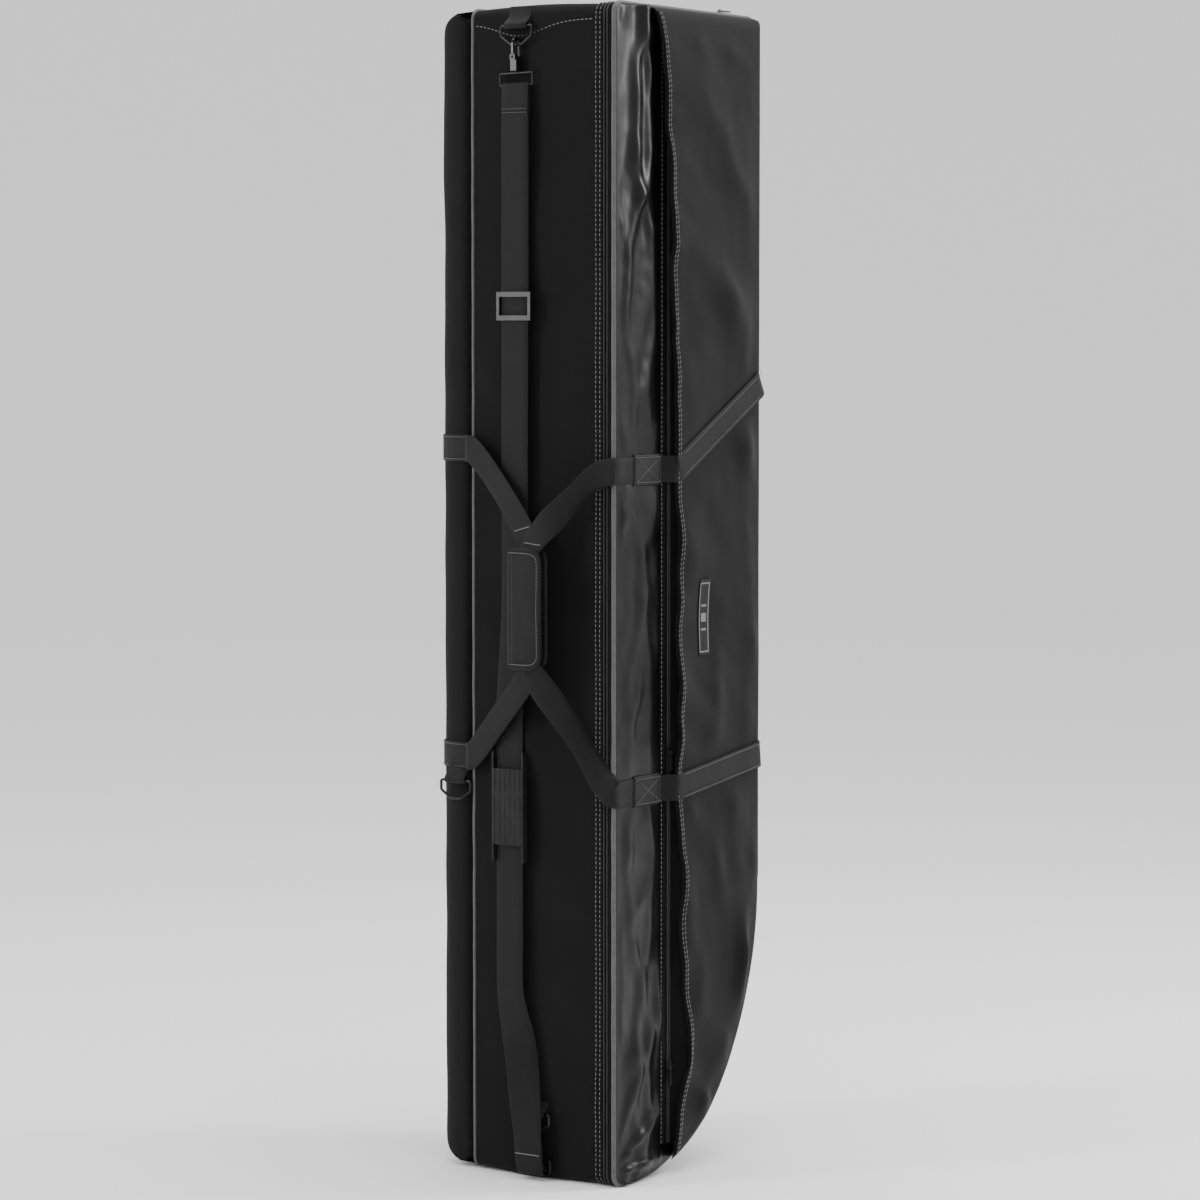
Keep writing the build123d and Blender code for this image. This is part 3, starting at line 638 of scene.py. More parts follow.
def patch_finish():
    """Reinforcing patch: pebbled black leathercloth with worn high spots."""
    p = Paint("pebbled_patch")
    pebble = p.node("ShaderNodeTexVoronoi", {"feature": "SMOOTH_F1"}, {
        "Vector": p.place(), "Scale": 520.0, "Smoothness": 0.6})
    cloud = p.noise(40.0, 4.0)
    worn = (cloud + (1 - pebble) * 0.4).step(0.75, 1.05)
    p.set(Base_Color=p.mix(worn, grey(0.0035), grey(0.012)), Roughness=0.58 + (cloud - 0.5) * 0.2,
          Normal=p.bump(1 - pebble, 0.0004, 0.8), Specular_IOR_Level=0.25)
    return p.material


def wrap_finish():
    """Knitted-face foam of the carry wrap, with three pressed channels across and along it."""
    p = Paint("wrap_cloth")
    u, v, _ = p.uv()
    knit = abs((u * (math.pi / 0.0009)).sine()) * abs((v * (math.pi / 0.0014)).sine())
    end_lines = abs(abs(v) - 0.0585).step(0.0, 0.0022)
    fold_line = abs(u - 0.011).step(0.0, 0.0022)
    pressed = end_lines.least(fold_line)
    cloud = p.noise(30.0, 4.0, 0.6)
    fine = p.bump(knit, 0.00015, 0.6)
    shade = ((cloud - 0.5) * 0.9 + 0.3 + (1 - pressed) * 0.25).most(0.0).least(1.0)
    p.set(Base_Color=p.mix(shade, grey(0.0024), grey(0.007)), Roughness=0.66,
          Normal=p.bump(pressed, 0.0009, 0.9, normal=fine), Sheen_Weight=0.04,
          Sheen_Roughness=0.4, Specular_IOR_Level=0.2)
    return p.material


def touch_finish():
    """Hook-and-loop tape: a dense field of tiny loops."""
    p = Paint("hook_and_loop_pile")
    loops = p.node("ShaderNodeTexVoronoi", {"feature": "F1"}, {
        "Vector": p.place(), "Scale": 900.0})
    p.set(Base_Color=p.mix(loops, grey(0.03), grey(0.008)), Roughness=0.85,
          Normal=p.bump(1 - loops, 0.0009, 1.0), Sheen_Weight=0.4)
    return p.material


def rubber_finish():
    """Matt moulded rubber: fine spark-eroded grain, grey bloom in soft patches."""
    p = Paint("moulded_rubber")
    grain = p.noise(1100.0, 4.0, 0.65)
    bloom = p.noise(45.0, 4.0, 0.6)
    p.set(Base_Color=p.mix(bloom.step(0.35, 0.75), grey(0.004), grey(0.011)),
          Roughness=0.6 + (bloom - 0.5) * 0.2, Normal=p.bump(grain, 0.00014, 0.8),
          Specular_IOR_Level=0.25)
    return p.material


def badge_finish():
    """Woven label: dark ground with a pale rectangular border and three pale bars."""
    p = Paint("woven_label")
    u, v, _ = p.uv()
    far_x, far_z = abs(u - 0.0135), abs(v - 0.054)
    border = far_x.step(0.0098, 0.0102) * (1 - far_x.step(0.0118, 0.0122))
    border = border * (1 - far_z.step(0.0498, 0.0502))
    ends = far_z.step(0.0478, 0.0482) * (1 - far_z.step(0.0498, 0.0502))
    ends = ends * (1 - far_x.step(0.0118, 0.0122))
    bar = (1 - abs(far_z - 0.017).step(0.0014, 0.0018)) * (1 - far_x.step(0.006, 0.0064))
    middle = (1 - far_z.step(0.006, 0.0064)) * (1 - far_x.step(0.006, 0.0064))
    print_mask = border.most(ends).most(bar).most(middle)
    threads = abs((v * (math.pi / 0.0006)).sine())
    p.set(Base_Color=p.mix(print_mask.least(1.0), grey(0.006), grey(0.15)), Roughness=0.6,
          Normal=p.bump(threads, 0.00012, 0.7), Specular_IOR_Level=0.2)
    return p.material


front_coat = coated_finish()
front_piping_finish = piping_finish("grey_piping_cloth", grey(0.035), grey(0.10), 0.55, 0.1)
back_piping_finish = piping_finish("silver_piping_cloth", grey(0.035), grey(0.10), 0.5, 0.15)
foam_look = foam_finish()
light_thread = thread_finish("pale_thread", grey(0.10), grey(0.22))
dark_thread = thread_finish("charcoal_thread", grey(0.012), grey(0.03))
patch_look = patch_finish()
wrap_look = wrap_finish()
touch_look = touch_finish()
rubber_look = rubber_finish()
badge_look = badge_finish()

# ------------------------------------------------------------------ camera, floor and lights
camera = bpy.data.objects.new("camera", bpy.data.cameras.new("camera"))
bpy.context.scene.collection.objects.link(camera)
bpy.context.scene.camera = camera
camera.data.sensor_width = 36.0
camera.data.lens = 118.6
aim = Vector((near, -0.0986, 0.824))
swing = math.radians(-56)
distance, eye_height = 5.5, 1.2
camera.location = (
    aim.x + distance * math.sin(swing), aim.y - distance * math.cos(swing), eye_height)
camera.rotation_mode = "QUATERNION"
camera.rotation_quaternion = (aim - camera.location).to_track_quat("-Z", "Y")
camera.data.clip_end = 100.0

floor_look = Paint("pale_floor")
floor_look.set(Base_Color=grey(0.88), Roughness=0.9, Specular_IOR_Level=0.1)
floor_z = cad_box[0][2] - 0.0006
bowl_turn = np.linspace(0, 2 * math.pi, 97)[:-1]
rise_turn = np.linspace(0, math.pi / 2, 17)
bowl_r = np.concatenate([[0.01, 4.0, 9.0], 11.0 + 5.0 * np.sin(rise_turn), [16.0, 16.0]])
bowl_z = np.concatenate([[0, 0, 0], 5.0 * (1 - np.cos(rise_turn)), [6.0, 8.0]]) + floor_z
bowl = np.stack(np.broadcast_arrays(
    bowl_r[:, None] * np.cos(bowl_turn), bowl_r[:, None] * np.sin(bowl_turn), bowl_z[:, None]), -1)
floor_mesh = bpy.data.meshes.new("floor")
floor_mesh.from_pydata(
    bowl.reshape(-1, 3).tolist(), [],
    sheet_faces(*bowl.shape[:2], wrap_cols=True).tolist() + [list(range(len(bowl_turn)))])
floor_mesh.polygons.foreach_set("use_smooth", [True] * len(floor_mesh.polygons))
floor_mesh.materials.append(floor_look.material)
floor = bpy.data.objects.new("floor", floor_mesh)
bpy.context.scene.collection.objects.link(floor)

world = bpy.data.worlds.new("studio")
bpy.context.scene.world = world
world.use_nodes = True
world.node_tree.nodes["Background"].inputs[0].default_value = (1, 1, 1, 1)
world.node_tree.nodes["Background"].inputs[1].default_value = 1.25


def softbox(name, place, look_at, size, power):
    """A large soft light that faces a point."""
    data = bpy.data.lights.new(name, "AREA")
    data.shape, data.size, data.size_y, data.energy = "RECTANGLE", size[0], size[1], power
    light = bpy.data.objects.new(name, data)
    light.location = place
    light.rotation_mode = "QUATERNION"
    light.rotation_quaternion = (Vector(look_at) - Vector(place)).to_track_quat("-Z", "Y")
    bpy.context.scene.collection.objects.link(light)


softbox("key", (2.2, -2.4, 2.6), (0.15, 0, 1.0), (0.7, 2.0), 95)
softbox("side_fill", (-2.6, 1.9, 2.3), (0, 0, 0.9), (0.6, 2.4), 70)
softbox("overhead", (0.2, -0.6, 4.2), (0.1, 0, 0.8), (2.4, 2.4), 90)

# ------------------------------------------------------------------ shapes of the cloth
hem_control = at(
    (-58, 0, 20), (-56, 0, 60), (-42, 0, 130), (-33, 0, 205), (-40, 0, 262), (-50, 0, 330),
    (-47, 0, 430), (-53, 0, 510), (-54, 0, 560), (-58, 0, 640), (-59, 0, 720), (-54, 0, 815),
    (-56, 0, 930), (-54, 0, 1004), (-60, 0, 1060), (-65, 0, 1170), (-70, 0, 1290),
    (-76, 0, 1400), (-83, 0, 1500), (-94, 0, 1580), (-102, 0, 1640))
belt_levels = {"upper": (1.004, 0.124), "lower": (0.552, 0.030)}
mouth_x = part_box("pocket_panel")[0].x


def hem_x(z):
    """Where the pocket panel's free edge runs: a smooth line through the hem's turning points."""
    line = spline(hem_control, 400)
    return np.interp(z, line[:, 2], line[:, 0])


def belt_z(level, x):
    """Height of the middle of the front webbing: level, then rising to the far edge."""
    height, rise = belt_levels[level]
    return height + rise * np.clip((x - mouth_x) / (far - mouth_x), 0, 1)


def near_belts(x, z, spread):
    """1 under the front webbing, falling to 0 away from it."""
    return sum(hump(z, belt_z(level, x), spread) for level in belt_levels)


def pocket_out(x, z):
    """How far the pocket panel stands off the lid: full height in the middle, rounded down to
    the outline, drawn in under the webbing, with slanting folds that fade at the edges."""
    height = lid_front - pocket_face
    d = np.clip(from_edge(x, z) / 0.020, 0, 1)
    rise = np.sqrt(1 - (1 - d) ** 2)
    belts = near_belts(x, z, 0.030)
    loose = ease(0.0, 0.06, from_edge(x, z)) * (1 - 0.85 * np.clip(near_belts(x, z, 0.045), 0, 1))
    edge_fall = 1 - ease(0.0, 0.10, x - hem_x(z))
    slant = crease(x, z, 5, 3, 0.11, 0.22, (0.45, 0.95)) * (0.6 + 0.4 * ease(0.6, 1.4, z))
    slant = slant + 0.22 * crease(x, z, 6, 3, 0.09, 0.16, (0.6, 1.25))
    tall = crease(x, z, 9, 3, 0.08, 0.15, (-0.15, 0.3)) * ease(1.0, 0.3, z)
    soft = ripple(x, z, 12, 5, 0.10, 0.26)
    fine = ripple(x, z, 21, 6, 0.035, 0.07, (0.2, 1.3))
    lip = edge_fall * ripple(z, x, 31, 4, 0.10, 0.21, (-0.1, 0.1)) * 0.0012
    swell = 0.0030 * (1 - belts) + slant * 0.0052 + tall * 0.0056 + soft * 0.0011 + fine * 0.00035
    label = hump(x, (mouth_x + far) / 2 - 0.05, 0.04) * hump(z, 0.79, 0.09)
    return rise * (height + loose * swell * (1 - 0.9 * label) + loose * lip)


def strip_out(x, z):
    """How far the front panel swells: on its coated strip, tall wavy ridges that are strongest
    high up, a ridge along the pocket zip, and creases that fan out of the bottom corner; it is
    still elsewhere."""
    hold = 0.024 + 0.010 * np.sin(z * 17.0) + 0.006 * np.sin(z * 43.0 + 2.0)
    free = ease(0.002, hold, x - near) * ease(0.0, 0.02, 0.0965 - x)
    across = np.clip((x - near) / 0.12, 0, 1)
    way = 0.012 * np.sin(z * 9.0) + 0.008 * np.sin(z * 23.0 + 1.3) + 0.004 * np.sin(z * 51.0)
    ridge = np.exp(-(((x - near - 0.040 - way) / 0.011) ** 2))
    ridge_2 = np.exp(-(((x - near - 0.078 + way * 0.7) / 0.012) ** 2))
    strong = 0.45 + 0.75 * ease(1.05, 1.5, z) + 0.35 * ease(0.45, 0.1, z)
    fan_angle = np.arctan2(z - 0.015, x - near + 0.01)
    fan_reach = np.hypot(z - 0.015, x - near + 0.01)
    fan = np.exp(1.8 * (np.sin(fan_angle * 11.0 + fan_reach * 9.0) - 1)) * ease(0.42, 0.16, z)
    patches = sum(hump(z, h, 0.032) for h, _ in belt_levels.values())
    patch_hold = 1 - 0.97 * np.clip(patches, 0, 1) * ease(0.0, 0.012, x - near - 0.002)
    slope = crease(x, z, 44, 3, 0.05, 0.10, (-0.5, 0.3))
    small = ripple(x, z, 47, 5, 0.022, 0.05, (-0.5, 0.9))
    swell = (0.0042 * ridge + 0.0048 * ridge_2) * strong + 0.0064 * fan + 0.0034 * slope * strong
    return free * patch_hold * (swell + 0.0012 * np.sin(across * math.pi) + 0.0003 * small)


def side_push(s, y, inset):
    """How far the side swells: a soft pillow between its seams, small puckers along both seams,
    and long shallow folds. The inner layers swell less, the deeper they lie."""
    t = np.clip((y - shell_front) / (shell_back - shell_front), 0, 1)
    pillow = 0.0034 * math.sin(math.pi * t) ** 0.7
    seam = math.exp(-t / 0.10) + math.exp(-(1 - t) / 0.10)
    held = 1 - math.exp(-t / 0.03) * 0.8 - math.exp(-(1 - t) / 0.03) * 0.8
    pucker = ripple(s, np.full_like(s, y), 3, 5, 0.024, 0.05, (-0.25, 0.25)) * 0.0007 * seam
    depth = np.full_like(s, y)
    long = ripple(s, depth, 8, 5, 0.14, 0.4, (-0.9, 0.9)) * 0.0012
    long = long + (crease(s, depth, 19, 4, 0.09, 0.22, (0.5, 1.2)) - 0.25) * 0.0030
    long = long * math.sin(math.pi * t) ** 0.6
    fade = 1.0 if inset <= cloth else max(0.0, 1 - (inset - cloth) / foam)
    return np.maximum((pillow + long + pucker) * held, -0.0006) * fade


def spread(low, high, count):
    """Values from low to high that crowd together at both ends."""
    t = (1 - np.cos(np.linspace(0, math.pi, count))) / 2
    return low + (high - low) * t


def plate(inset, rows=240, cols=90):
    """(x, z) grids that fill the outline drawn in by inset."""
    z = np.concatenate([[inset], spread(inset, top - inset, rows)[1:-1], [top - inset]])
    z = 0.5 * z + 0.5 * np.linspace(inset, top - inset, rows)
    left, right = left_edge(z, inset), right_edge(z, inset)
    t = 0.5 * spread(0, 1, cols) + 0.5 * np.linspace(0, 1, cols)
    x = left[:, None] + (right - left)[:, None] * t[None, :]
    return x, np.broadcast_to(z[:, None], x.shape)


def flat_layer(inset, y):
    """Grid over the outline at depth y; y may be a number or a rule of x and z."""
    x, z = plate(inset)
    depth = y(x, z) if callable(y) else np.full_like(x, y)
    return np.stack([x, depth, z], -1)


def dome(inset):
    """The rounded back: a quarter ellipse in from the outline, then nearly flat."""
    def depth(x, z):
        d = np.clip(from_edge(x, z) / (back_reach / 2), 0, 1)
        rise = np.sqrt(1 - (1 - d) ** 2)
        give = 0.0012 * ripple(x, z, 71, 5, 0.12, 0.3)
        give = give + 0.0022 * (crease(x, z, 75, 4, 0.12, 0.3) - 0.3)
        belts = sum(hump(z, level, 0.05) for level in back_levels.values())
        give = give * (1 - np.clip(belts, 0, 1)) * ease(0.0, 0.05, from_edge(x, z))
        return shell_back + (back_reach - inset) * rise + give
    return flat_layer(inset, depth)


# ------------------------------------------------------------------ shell
depths = np.linspace(shell_front, shell_back, 34)
inner_depths = np.linspace(shell_back, shell_front, 14)
side_section = [(0.0, y) for y in depths] + [(cloth, y) for y in inner_depths]
side_cloth = band("side_cloth", side_section, side_finish, "shell", push=side_push,
                  replaces=("gusset_near", "gusset_top", "gusset_far", "gusset_toe"),
                  slot="side_polyester")

foam_section = [(cloth, y) for y in inner_depths[::-1]] + [(cloth + foam, y) for y in inner_depths]
side_padding = band("side_padding", foam_section, foam_look, "shell", push=side_push,
                    replaces=("gusset_foam",), slot="padding")


def lining_push(s, y, inset):
    """Slack in the lining: shallow folds that hang into the bag."""
    held = math.sin(math.pi * np.clip((y - shell_front) / (shell_back - shell_front), 0, 1)) ** 0.5
    folds = ripple(s, np.full_like(s, y), 15, 5, 0.05, 0.14, (-0.4, 0.4))
    return -0.0011 * (1 + folds * 0.6) * held


lining_section = [(wall - lining, y) for y in inner_depths[::-1]]
lining_section += [(wall, y) for y in inner_depths]
lining_sides = band("lining_sides", lining_section, lining_finish, "shell", push=lining_push,
                    replaces=("shell_lining",), slot="lining")

for name, out, inside, finish, node, slot in (
    ("back_cloth", 0.0, cloth, side_finish, "back_panel", "side_polyester"),
    ("back_padding", cloth, cloth + foam, foam_look, "back_foam", "padding"),
    ("lining_back", cloth + foam, wall, lining_finish, "shell_lining", "lining"),
):
    piece = layer(name, dome(out), dome(inside), finish, "shell", replaces=(node,), slot=slot)
    slot == "padding"

hinge_rows = np.flatnonzero((edge[:, 0] > far - hinge_strip) & (edge[:, 1] > hinge_low))
hinge_section = [(0.0, shell_front), (0.0, -0.109), (0.0, -0.113), (0.0, -0.1174),
                 (cloth, -0.1174), (cloth, -0.113), (cloth, -0.109), (cloth, shell_front)]
band("hinge_cloth", hinge_section, side_finish, "shell", rows=hinge_rows, slot="side_polyester")


def circle(inset, y, radius, count=12):
    """A round section."""
    angle = np.linspace(0, 2 * math.pi, count, endpoint=False)
    return [(inset + radius * math.cos(a), y + radius * math.sin(a)) for a in angle]


def piping_push(s, y, inset):
    """The slight waver of piping between its stitches."""
    return 0.0004 * ripple(s, np.zeros_like(s), 61, 5, 0.03, 0.12, (-0.1, 0.1))


band("back_edge_piping", circle(0.0, shell_back, 0.0025, 10), back_piping_finish, "shell",
     push=piping_push, replaces=("back_piping",), slot="piping")
band("front_edge_piping", circle(0.0002, lid_front + 0.004, 0.0039, 14), front_piping_finish,
     "lid", push=piping_push, replaces=("front_piping",), slot="piping")

# ------------------------------------------------------------------ main zip
zip_rows = np.flatnonzero((edge[:, 0] < far - hinge_strip) | (edge[:, 1] < zip_end))
start = int(np.argmax(np.diff(zip_rows) > 1)) + 1
zip_rows = np.concatenate([zip_rows[start:], zip_rows[:start]])
tape_y = (shell_front, shell_front + 0.014)


def flat_section(low, high, proud, count):
    """A thin tape on the outside of the outline, from depth low to high."""
    ys = np.linspace(low, high, count)
    return [(-proud, y) for y in ys] + [(0.0003, y) for y in ys[::-1]]


def tape_push(s, y, inset):
    """The tape lies on the swelling side."""
    return np.maximum(side_push(s, max(y, shell_front), 0.0), 0.0)


band("main_zip_tape_on_shell", flat_section(*tape_y, 0.0010, 6), tape_finish, "shell",
     push=tape_push, rows=zip_rows, replaces=("main_zip_tape_shell",), slot="zip_tape")
band("main_zip_tape_on_lid", flat_section(lid_back, lid_back + 0.005, 0.0010, 3), tape_finish,
     "lid", rows=zip_rows, replaces=("main_zip_tape_lid",), slot="zip_tape")


def coil(name, line, outward, across, finish, body, node, pitch=0.0022, width=0.003, height=0.0032):
    """A row of zip coil: a half-round section whose height and reach swell once a pitch."""
    points, _, places, lengths = resample(line, pitch / 4)
    up = unit(pick(places, lengths, outward))
    beat = 0.5 - 0.5 * np.cos(places / pitch * 2 * math.pi)
    columns = []
    for turn in np.linspace(0, math.pi, 6):
        reach = width / 2 * math.cos(turn) * (0.72 + 0.28 * beat)
        rise = height * (math.sin(turn) * (0.6 + 0.4 * beat) + 0.02)
        columns.append(points + across * reach[:, None] + up * rise[:, None])
    grid = np.stack(columns, 1)
    return make(name, grid, capped(grid), finish, body, replaces=(node,), slot="zip_coil")


outward_all = np.stack([edge_out[:, 0], np.zeros(len(edge)), edge_out[:, 1]], 1)
for part, y in (("shell", shell_front - 0.0015), ("lid", lid_back + 0.0065)):
    coil(f"main_zip_coil_on_{part}", round_path(zip_rows, 0.0, y), outward_all[zip_rows],
         np.array([0, 1.0, 0]), coil_finish, part, f"main_zip_coil_{part}")

seam_lines = []
for y in (shell_front + 0.0055, shell_front + 0.0118):
    out = side_push(edge_s, y, 0.0)
    seam_lines.append((round_path(zip_rows, -0.0011, y, np.maximum(out, 0)), outward_all[zip_rows]))
stitches("main_zip_stitching", seam_lines, light_thread, "shell")

# ------------------------------------------------------------------ lid
front_grid = flat_layer(0.0, lambda x, z: lid_front - strip_out(x, z))
front_back = flat_layer(0.0004, lambda x, z: lid_front + cloth - strip_out(x, z) * 0.9)
front_sheet = layer("front_sheet", front_grid, front_back, front_coat, "lid",
                    replaces=("front_panel",), slot="coated_panel")

rim_section = [(0.0, y) for y in np.linspace(lid_front + 0.001, lid_back, 5)]
rim_section += [(cloth, y) for y in np.linspace(lid_back, lid_front + 0.001, 5)]
band("lid_rim", rim_section, side_finish, "lid", slot="side_polyester")

pad_front = flat_layer(cloth, lambda x, z: lid_front + cloth + 0.0002 - strip_out(x, z) * 0.85)
pad_back = flat_layer(cloth, lid_front + cloth + foam)
lid_padding = layer("lid_padding", pad_front, pad_back, foam_look, "lid",
                    replaces=("lid_foam",), slot="padding")


def lid_slack(x, z):
    """Slack in the lid's lining: shallow folds across it."""
    return lid_back + 0.0008 * (1 + ripple(x, z, 17, 6, 0.06, 0.2)) * ease(0, 0.03, from_edge(x, z))


lid_cloth = layer("lid_lining_cloth", flat_layer(cloth, lid_slack),
                  flat_layer(cloth, lid_back - lining), lining_finish, "lid",
                  replaces=("lid_lining",), slot="lining")

# ------------------------------------------------------------------ pocket panel
zip_low, zip_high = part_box("pocket_zip_tape_panel")[0].z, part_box("pocket_zip_tape_panel")[1].z
heights = np.linspace(0.0, 1.0, 330)
heights = 0.018 + (top - 0.0006 - 0.018) * (0.75 * heights + 0.25 * spread(0, 1, 330))
mouth_line = hem_x(heights)
right_line = right_edge(heights) - 0.0002
start_row = int(np.argmax(right_line - mouth_line > 0.004))
heights = heights[start_row:]
mouth_line, right_line = mouth_line[start_row:], right_line[start_row:]
t = 0.6 * np.linspace(0, 1, 110) + 0.4 * spread(0, 1, 110)
px = mouth_line[:, None] + (right_line - mouth_line)[:, None] * t[None, :]
pz = np.broadcast_to(heights[:, None], px.shape)
py = lid_front - pocket_out(px, pz)
thick = 0.0022 - 0.0014 * ease(0.012, 0.0, from_edge(px, pz))
pocket_cloth = layer("pocket_cloth", np.stack([px, py, pz], -1),
                     np.stack([px, py + thick, pz], -1), pocket_finish, "lid",
                     replaces=("pocket_panel",), slot="pocket_polyester")
pocket_area = float(((right_line - mouth_line)[:-1] * np.diff(heights)).sum())


def on_pocket(x, z, off):
    """A point on the pocket panel's face, or off it."""
    return np.stack(np.broadcast_arrays(x, lid_front - pocket_out(x, z) - off, z), -1)


hem_z = np.linspace(heights[2], heights[-3], 420)
hem_line = hem_x(hem_z)
hem_profile = [(0.0, 0.0006), (0.0, 0.0016), (0.004, 0.0019), (0.009, 0.0017), (0.0105, 0.0004),
               (0.0105, -0.0004), (0.0, -0.0032), (-0.0008, -0.0012)]
hem_grid = np.stack([on_pocket(hem_line + dx, hem_z, off) for dx, off in hem_profile], 1)
hem_uv = np.stack(np.broadcast_arrays(hem_z[:, None], np.arange(8)[None, :] * 0.002), -1)
make("pocket_hem", hem_grid, capped(hem_grid), pocket_finish, "lid", uv=hem_uv,
     slot="pocket_polyester")
stitches("pocket_hem_stitching",
         [(on_pocket(hem_line + dx, hem_z, 0.0022), (0, -1, 0)) for dx in (0.0024, 0.0078)],
         light_thread, "lid")

flap_z = np.linspace(zip_low, zip_high, 300)
panel_coil_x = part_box("pocket_zip_coil_panel")[0].x + 0.0015
flap_coil_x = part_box("pocket_zip_coil_flap")[0].x + 0.0015
tape_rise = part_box("pocket_zip_coil_flap")[1].y
for part, x in (("panel", panel_coil_x), ("flap", flap_coil_x)):
    line = np.stack([np.full_like(flap_z, x), np.full_like(flap_z, tape_rise), flap_z], 1)
    coil(f"pocket_zip_coil_on_{part}", line, np.broadcast_to((0, -1.0, 0), line.shape),
         np.array([1.0, 0, 0]), coil_finish, "lid", f"pocket_zip_coil_{part}")
tape_x = np.array([panel_coil_x - 0.0155, panel_coil_x - 0.011, panel_coil_x - 0.006,
                   panel_coil_x - 0.001, panel_coil_x + 0.0014])
tape_out = np.array([0.0012, 0.0013, 0.0014, 0.0022, 0.0024])
tape_top = np.stack(np.broadcast_arrays(tape_x[None, :], lid_front - tape_out[None, :],
                                        flap_z[:, None]), -1)
layer("pocket_zip_tape_on_panel", tape_top, tape_top + np.array([0, 0.0009, 0]), tape_finish,
      "lid", replaces=("pocket_zip_tape_panel",), slot="zip_tape")

# the flap's tape hangs from inside the hem down to its row of coil
depth_t = np.linspace(0, 1, 9)[None, :]
hem_at = np.maximum(hem_x(flap_z), flap_coil_x - 0.030)[:, None]
inside_y = lid_front - pocket_out(hem_at + 0.004, flap_z[:, None]) + 0.0026
coil_y = lid_front - 0.0024
sway = 0.0009 * ripple(flap_z[:, None], 0 * depth_t, 33, 4, 0.05, 0.12, (-0.1, 0.1))
tape_mouth = np.maximum(hem_at + 0.004, flap_coil_x + 0.002)
tape_gx = (flap_coil_x - 0.0002) * (1 - depth_t) + tape_mouth * depth_t
tape_gx = tape_gx + sway * np.sin(math.pi * depth_t)
tape_gy = coil_y * (1 - depth_t) + np.minimum(inside_y, coil_y - 0.001) * depth_t
hang = np.stack([tape_gx, tape_gy, np.broadcast_to(flap_z[:, None], tape_gx.shape)], -1)
layer("pocket_zip_tape_on_flap", hang, hang + np.array([0.0009, 0.0, 0.0]), tape_finish, "lid",
      replaces=("pocket_zip_tape_flap",), slot="zip_tape")
tape_seam = np.stack([np.full_like(flap_z, panel_coil_x - 0.0125),
                      np.full_like(flap_z, lid_front - 0.0012), flap_z], 1)
stitches("pocket_zip_stitching", [(tape_seam, (0, -1, 0))], light_thread, "lid")

# ------------------------------------------------------------------ sewn webbing and patches
patch_x = at((-106.5, 0, 0))[0][0]
stitch_rows = []
for level, (height, rise) in belt_levels.items():
    run_x = np.concatenate([np.linspace(patch_x - 0.0325, patch_x + 0.033, 14)[:-1],
                            np.linspace(patch_x + 0.034, mouth_x + 0.002, 8)[:-1],
                            np.linspace(mouth_x + 0.004, far - 0.001, 70)])
    mid = belt_z(level, run_x)
    on_lid = lid_front - 0.0013 - strip_out(run_x, mid)
    on_face = lid_front - pocket_out(run_x, mid) - 0.0026
    blend_in = ease(patch_x + 0.034, mouth_x + 0.002, run_x)
    line = np.stack([run_x, on_lid * (1 - blend_in) + on_face * blend_in, mid], 1)
    belt = ribbon(f"front_belt_{level}", line, None, webbing_width, 0.0022, webbing_finish, "lid",
                  count=160, facing=(0, -1, 0), replaces=(f"front_webbing_{level}",),
                  slot="webbing")
    for side in (-belt_seam, belt_seam):
        keep = run_x > mouth_x + 0.012
        stitch_rows.append((line[keep] + np.array([0, -0.0011, side]), (0, -1, 0)))

    u = spread(-1, 1, 22)[None, :]
    v = spread(-1, 1, 18)[:, None]
    swell = (1 - np.abs(u) ** 10) * (1 - np.abs(v) ** 10)
    lift = 0.0024 + 0.0019 * np.clip(swell, 0, 1) ** 0.3
    lift = lift + 0.0008 * hump(v, 0, 0.75) * hump(u, 0, 0.8)
    shape_u = u * np.sqrt(1 - 0.06 * v**8)
    gx, gz = patch_x + 0.0345 * shape_u + 0 * v, height + 0.022 * v * np.sqrt(1 - 0.05 * u**8)
    face = np.stack([gx, lid_front - lift, gz], -1)
    under = np.stack([gx, np.full_like(gx, lid_front - 0.0022), gz], -1)
    layer(f"handle_patch_cloth_{level}", face, under, patch_look, "lid",
          replaces=(f"handle_patch_{level}",), slot="patch")
    box_u = np.array([-0.030, 0.030, 0.030, -0.030, -0.030, 0.030, 0.030, -0.030])
    box_v = np.array([-0.0175, -0.0175, 0.0175, 0.0175, -0.0175, 0.0175, -0.0175, 0.0175])
    cross = np.stack([patch_x + box_u, np.full(8, lid_front - 0.0050), height + box_v], 1)
    fine = np.vstack([run(a, b, 12) for a, b in zip(cross, cross[1:])] + [cross[-1:]])
    stitch_rows.append((fine, (0, -1, 0)))
stitches("front_belt_stitching", stitch_rows, dark_thread, "lid", pitch=0.0038)

belt_rows = []
for level, height in back_levels.items():
    angle = np.linspace(0.16, math.pi / 2, 14)
    half = back_reach / 2
    turn = np.stack([near - 0.0012 + half * (1 - np.cos(angle)),
                     shell_back + (back_reach + 0.0012) * np.sin(angle)], 1)
    middle = np.stack([np.linspace(near + half + 0.02, far - half - 0.02, 24),
                       np.full(24, shell_back + back_reach + 0.0014)], 1)
    other = np.stack([near + far - turn[::-1, 0], turn[::-1, 1]], 1)
    flat = np.vstack([turn, middle, other])
    line = np.stack([flat[:, 0], flat[:, 1], np.full(len(flat), height)], 1)
    ribbon(f"back_belt_{level}", line, (0, 0, 1), webbing_width, 0.0022, webbing_finish, "shell",
           count=150, replaces=(f"back_webbing_{level}",), slot="webbing")
    out = np.gradient(line, axis=0)
    out = np.cross(out, (0, 0, 1.0))
    out /= np.linalg.norm(out, axis=1)[:, None]
    out *= np.sign((out * (line - np.array([middle_x, 0, height]))).sum(1))[:, None]
    for side in (-belt_seam, belt_seam):
        belt_rows.append((line + out * 0.0011 + np.array([0, 0, side]), out))
